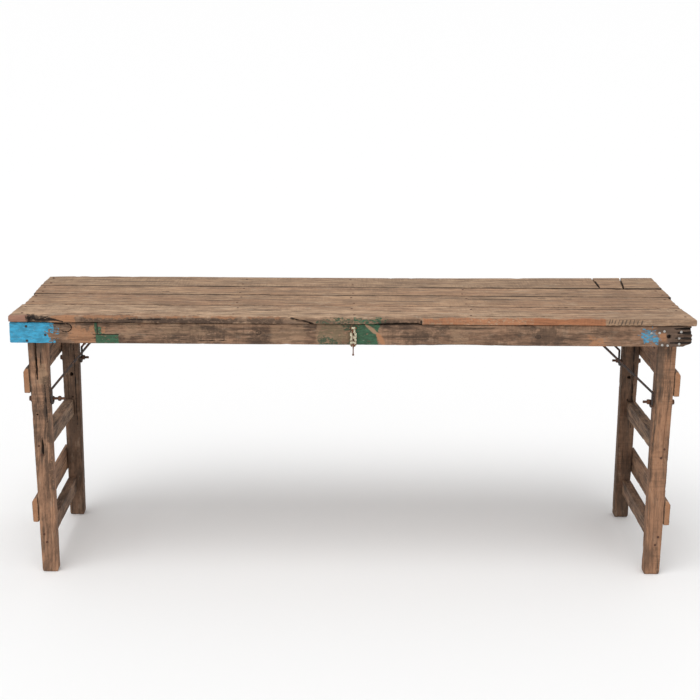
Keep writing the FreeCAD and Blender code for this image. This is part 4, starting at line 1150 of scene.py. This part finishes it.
def turned_bolt(node, side, body):
    """A leg bolt: six-sided head, washer, plain shank, then a thread as far as its tip."""
    low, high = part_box(node)
    middle_y, middle_z = (low.y + high.y) / 2, (low.z + high.z) / 2
    outer, tip = (high.x, low.x) if side > 0 else (low.x, high.x)
    length, washer = abs(outer - tip), (high.y - low.y) / 2
    corner, shank, head = NUT_CORNER, 4 * mm, 6 * mm
    flat = corner * np.cos(np.pi / 6)
    stations = [(0.4 * mm, round_bar(0.5 * mm)), (0.2 * mm, round_bar(4.6 * mm)),
                (0.5 * mm, six_sided(flat, flat)), (1.6 * mm, six_sided(flat, corner)),
                (head - 0.3 * mm, six_sided(flat, corner)), (head, six_sided(flat, flat)),
                (head, round_bar(washer - 0.6 * mm)), (head + 0.5 * mm, round_bar(washer)),
                (head + 1.6 * mm, round_bar(washer)), (head + 2 * mm, round_bar(washer - 0.5 * mm)),
                (head + 2 * mm, round_bar(shank))]
    threaded = length - 48 * mm
    stations.append((threaded, round_bar(shank)))
    for reach in np.arange(threaded, length - 1 * mm, 0.32 * mm):
        stations.append((reach, thread(shank, reach, 1.6 * mm, 0.45 * mm)))
    stations.append((length - 0.4 * mm, round_bar(shank - 0.8 * mm)))
    stations.append((length, round_bar(1 * mm)))
    turned(node + ".turned", (outer, middle_y, middle_z), (-side, 0, 0), stations, BOLT_IRON,
           body, node)


def turned_nut(node):
    """A six-sided nut with its corners chamfered at both faces; its thread fills with the bolt."""
    low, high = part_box(node)
    middle = (low + high) / 2
    thick, corner = high.x - low.x, NUT_CORNER
    flat = corner * np.cos(np.pi / 6)
    stations = [(0.0, round_bar(3.9 * mm)), (0.0, six_sided(flat, flat * 0.97)),
                (0.5 * mm, six_sided(flat, flat * 1.03)), (1.3 * mm, six_sided(flat, corner)),
                (thick - 1.3 * mm, six_sided(flat, corner)),
                (thick - 0.5 * mm, six_sided(flat, flat * 1.03)),
                (thick, six_sided(flat, flat * 0.97)), (thick, round_bar(3.9 * mm))]
    turned(node + ".turned", (low.x, middle.y, middle.z), (1, 0, 0), stations, BOLT_IRON,
           node, node)


for name, side in SIDES:
    for face_name, face in FACES:
        turned_bolt(f"leg_bolt_{face_name}_{name}", side, f"{name}_frame")
        turned_nut(f"nut_{face_name}_{name}")


def nail_heads(node, places, outward, body):
    """Domed nail heads in one piece: each is a round profile turned about its nail's axis."""
    turn = np.linspace(0, 2 * np.pi, 15)[:-1]
    radius = np.array([0.01, 2.2, 3.4, 3.6, 3.2, 1.6, 0.01]) * mm
    reach = np.array([1.5, 1.3, 0.8, 0.2, -0.6, -6.0, -8.0]) * mm
    count, around = len(radius), len(turn)
    ring = np.arange(count - 1)[:, None] * around
    step, after = np.arange(around)[None], ((np.arange(around) + 1) % around)[None]
    faces = np.stack([ring + step, ring + around + step, ring + around + after, ring + after], -1)
    faces = faces.reshape(-1, 4)
    points, quads = [], []
    for k, (place, out) in enumerate(zip(places, outward)):
        out = np.array(out, float)
        spin = circle(out, turn)[None]
        head = np.array(place) + out * reach[:, None, None] + spin * radius[:, None, None]
        points.append(head.reshape(-1, 3))
        quads.append(faces + k * count * around)
        caps = [list(k * count * around + np.arange(around)[::-1]),
                list(k * count * around + (count - 1) * around + np.arange(around))]
        quads.append(caps)
    faces = [list(map(int, face)) for group in quads for face in group]
    mesh = bpy.data.meshes.new(node + ".heads")
    mesh.from_pydata(np.concatenate(points).tolist(), [], faces)
    mesh.shade_smooth()
    piece = bpy.data.objects.new(node + ".heads", mesh)
    bpy.context.collection.objects.link(piece)
    merged = bmesh.new()
    merged.from_mesh(mesh)
    bmesh.ops.recalc_face_normals(merged, faces=merged.faces)
    merged.to_mesh(mesh)
    merged.free()
    mesh.materials.append(NAIL_IRON)
    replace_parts(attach(piece, body), node)


for name, side in SIDES:
    places, outward = [], []
    for face_name, face in FACES:
        leg_low, leg_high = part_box(f"leg_{face_name}_{name}")
        leg_y = (leg_low.y + leg_high.y) / 2
        leg_face = leg_low.y if face < 0 else leg_high.y
        for rail in ("outer_rail_upper", "outer_rail_lower"):
            low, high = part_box(f"{rail}_{name}")
            face_x = low.x if side < 0 else high.x
            for share, sideways in ((0.35, -6 * mm), (0.78, 7 * mm)):
                z = high.z - share * (high.z - low.z)
                x = face_x + side * (lean_at(name, leg_y, z) - 0.6 * mm)
                places.append((x, leg_y + sideways, z))
                outward.append((side, 0, 0))
        for rail in ("mid_rail", "low_rail"):
            low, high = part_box(f"{rail}_{name}")
            outer = low.x if side < 0 else high.x
            for share, across in ((0.25, 0.45), (0.75, 0.7)):
                z = high.z - share * (high.z - low.z)
                x = outer - side * (across * (high.x - low.x) - lean_at(name, leg_y, z))
                places.append((x, leg_face - face * 0.8 * mm, z))
                outward.append((0, face, 0))
    nail_heads(f"frame_nails_{name}", places, outward, f"{name}_frame")


def hanging_wire():
    """A bent end of wire under the front rail: a thin tube along a hooked curve."""
    share = np.linspace(0, 1, 40)
    bend = np.pi * 1.25 * share
    path = np.stack([-0.752 + 0.010 * np.sin(bend) + 0.004 * share,
                     np.full(40, rail_y + 12 * mm),
                     apron_under + 0.004 - 0.019 * share - 0.004 * np.cos(bend)], 1)
    run = np.gradient(path, axis=0)
    run /= np.linalg.norm(run, axis=1)[:, None]
    side = np.array([0, 1.0, 0])
    other = np.cross(run, side)
    turn = np.linspace(0, 2 * np.pi, 13)[:-1]
    rings = path[:, None] + 0.8 * mm * (np.cos(turn)[None, :, None] * side
                                        + np.sin(turn)[None, :, None] * other[:, None])
    piece = closed_tube("loose_wire", rings)
    piece.data.materials.append(RUSTY_WIRE)
    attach(piece, "top")


hanging_wire()

for node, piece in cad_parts.items():
    if node.startswith(("brace_front", "brace_back")):
        coat = DARK_IRON
    elif node.startswith("pivot_rod"):
        coat = PIVOT_IRON_BLACKED_AS_SHADE
    elif node == "brace_screws":
        coat = BOLT_IRON
    elif node == "apron_nails":
        coat = RAIL_NAILS
    elif "nails" in node:
        coat = NAIL_IRON
    elif node == "hasp_strap":
        coat = HASP_PAINT
    elif node.startswith("hasp"):
        coat = RUSTY_WIRE
    else:
        continue
    piece.data.materials.clear()
    piece.data.materials.append(coat)

# ---------------------------------------------------------------- floor, light and camera
floor_mesh = bpy.data.meshes.new("floor")
FLOOR_REACH = 1500
floor_corners = [(x * FLOOR_REACH, y * FLOOR_REACH, 0) for x, y in ((-1, -1), (1, -1), (1, 1), (-1, 1))]
floor_mesh.from_pydata(floor_corners, [], [(0, 1, 2, 3)])
floor = bpy.data.objects.new("floor", floor_mesh)
bpy.context.collection.objects.link(floor)
pale_floor, _, floor_shader, _ = new_material("Pale floor")
floor_shader.inputs["Base Color"].default_value = (0.93, 0.93, 0.93, 1)
floor_shader.inputs["Roughness"].default_value = 0.9
floor_mesh.materials.append(pale_floor)

DIM_LIGHT, BRIGHT_WALL = 0.7, 1.0
world = bpy.data.worlds.new("Studio")
world.use_nodes = True
glow = world.node_tree.nodes["Background"]
glow.inputs["Color"].default_value = (1, 1, 1, 1)
# the light is dimmer than the plain white wall that is seen behind the floor
studio = Graph(world.node_tree)
seen = studio.node("LightPath").outputs["Is Camera Ray"]
dimmer = studio.node("MapRange", {"Value": seen, "To Min": DIM_LIGHT, "To Max": BRIGHT_WALL})
studio.send(dimmer.outputs["Result"], glow.inputs["Strength"])
bpy.context.scene.world = world

KEY_DIRECTION = Vector((0.25, 0.62, -1.25))
lamp = bpy.data.lights.new("Soft key", "SUN")
lamp.energy = 1.4
lamp.angle = np.radians(50)
key = bpy.data.objects.new("Soft key", lamp)
key.rotation_euler = KEY_DIRECTION.to_track_quat("-Z", "Y").to_euler()
bpy.context.collection.objects.link(key)

CAMERA_PLACE = (-0.0493, -4.2594, 1.6445)
HEADING, TILT, ROLL = -0.585, 13.751, 0.492
camera_data = bpy.data.cameras.new("Camera")
camera_data.lens, camera_data.sensor_width = 75.96, 36
camera = bpy.data.objects.new("Camera", camera_data)
bpy.context.collection.objects.link(camera)
heading, tilt, roll = np.radians((HEADING, TILT, ROLL))
ahead = Vector((-np.sin(heading) * np.cos(tilt), np.cos(heading) * np.cos(tilt), -np.sin(tilt)))
right = Vector((np.cos(heading), np.sin(heading), 0))
above = right.cross(ahead)
right, above = (right * np.cos(roll) + above * np.sin(roll),
                above * np.cos(roll) - right * np.sin(roll))
turned_to = Matrix((right, above, -ahead)).transposed().to_4x4()
camera.matrix_world = Matrix.Translation(CAMERA_PLACE) @ turned_to
bpy.context.scene.camera = camera
bpy.context.scene.view_settings.view_transform = "Standard"
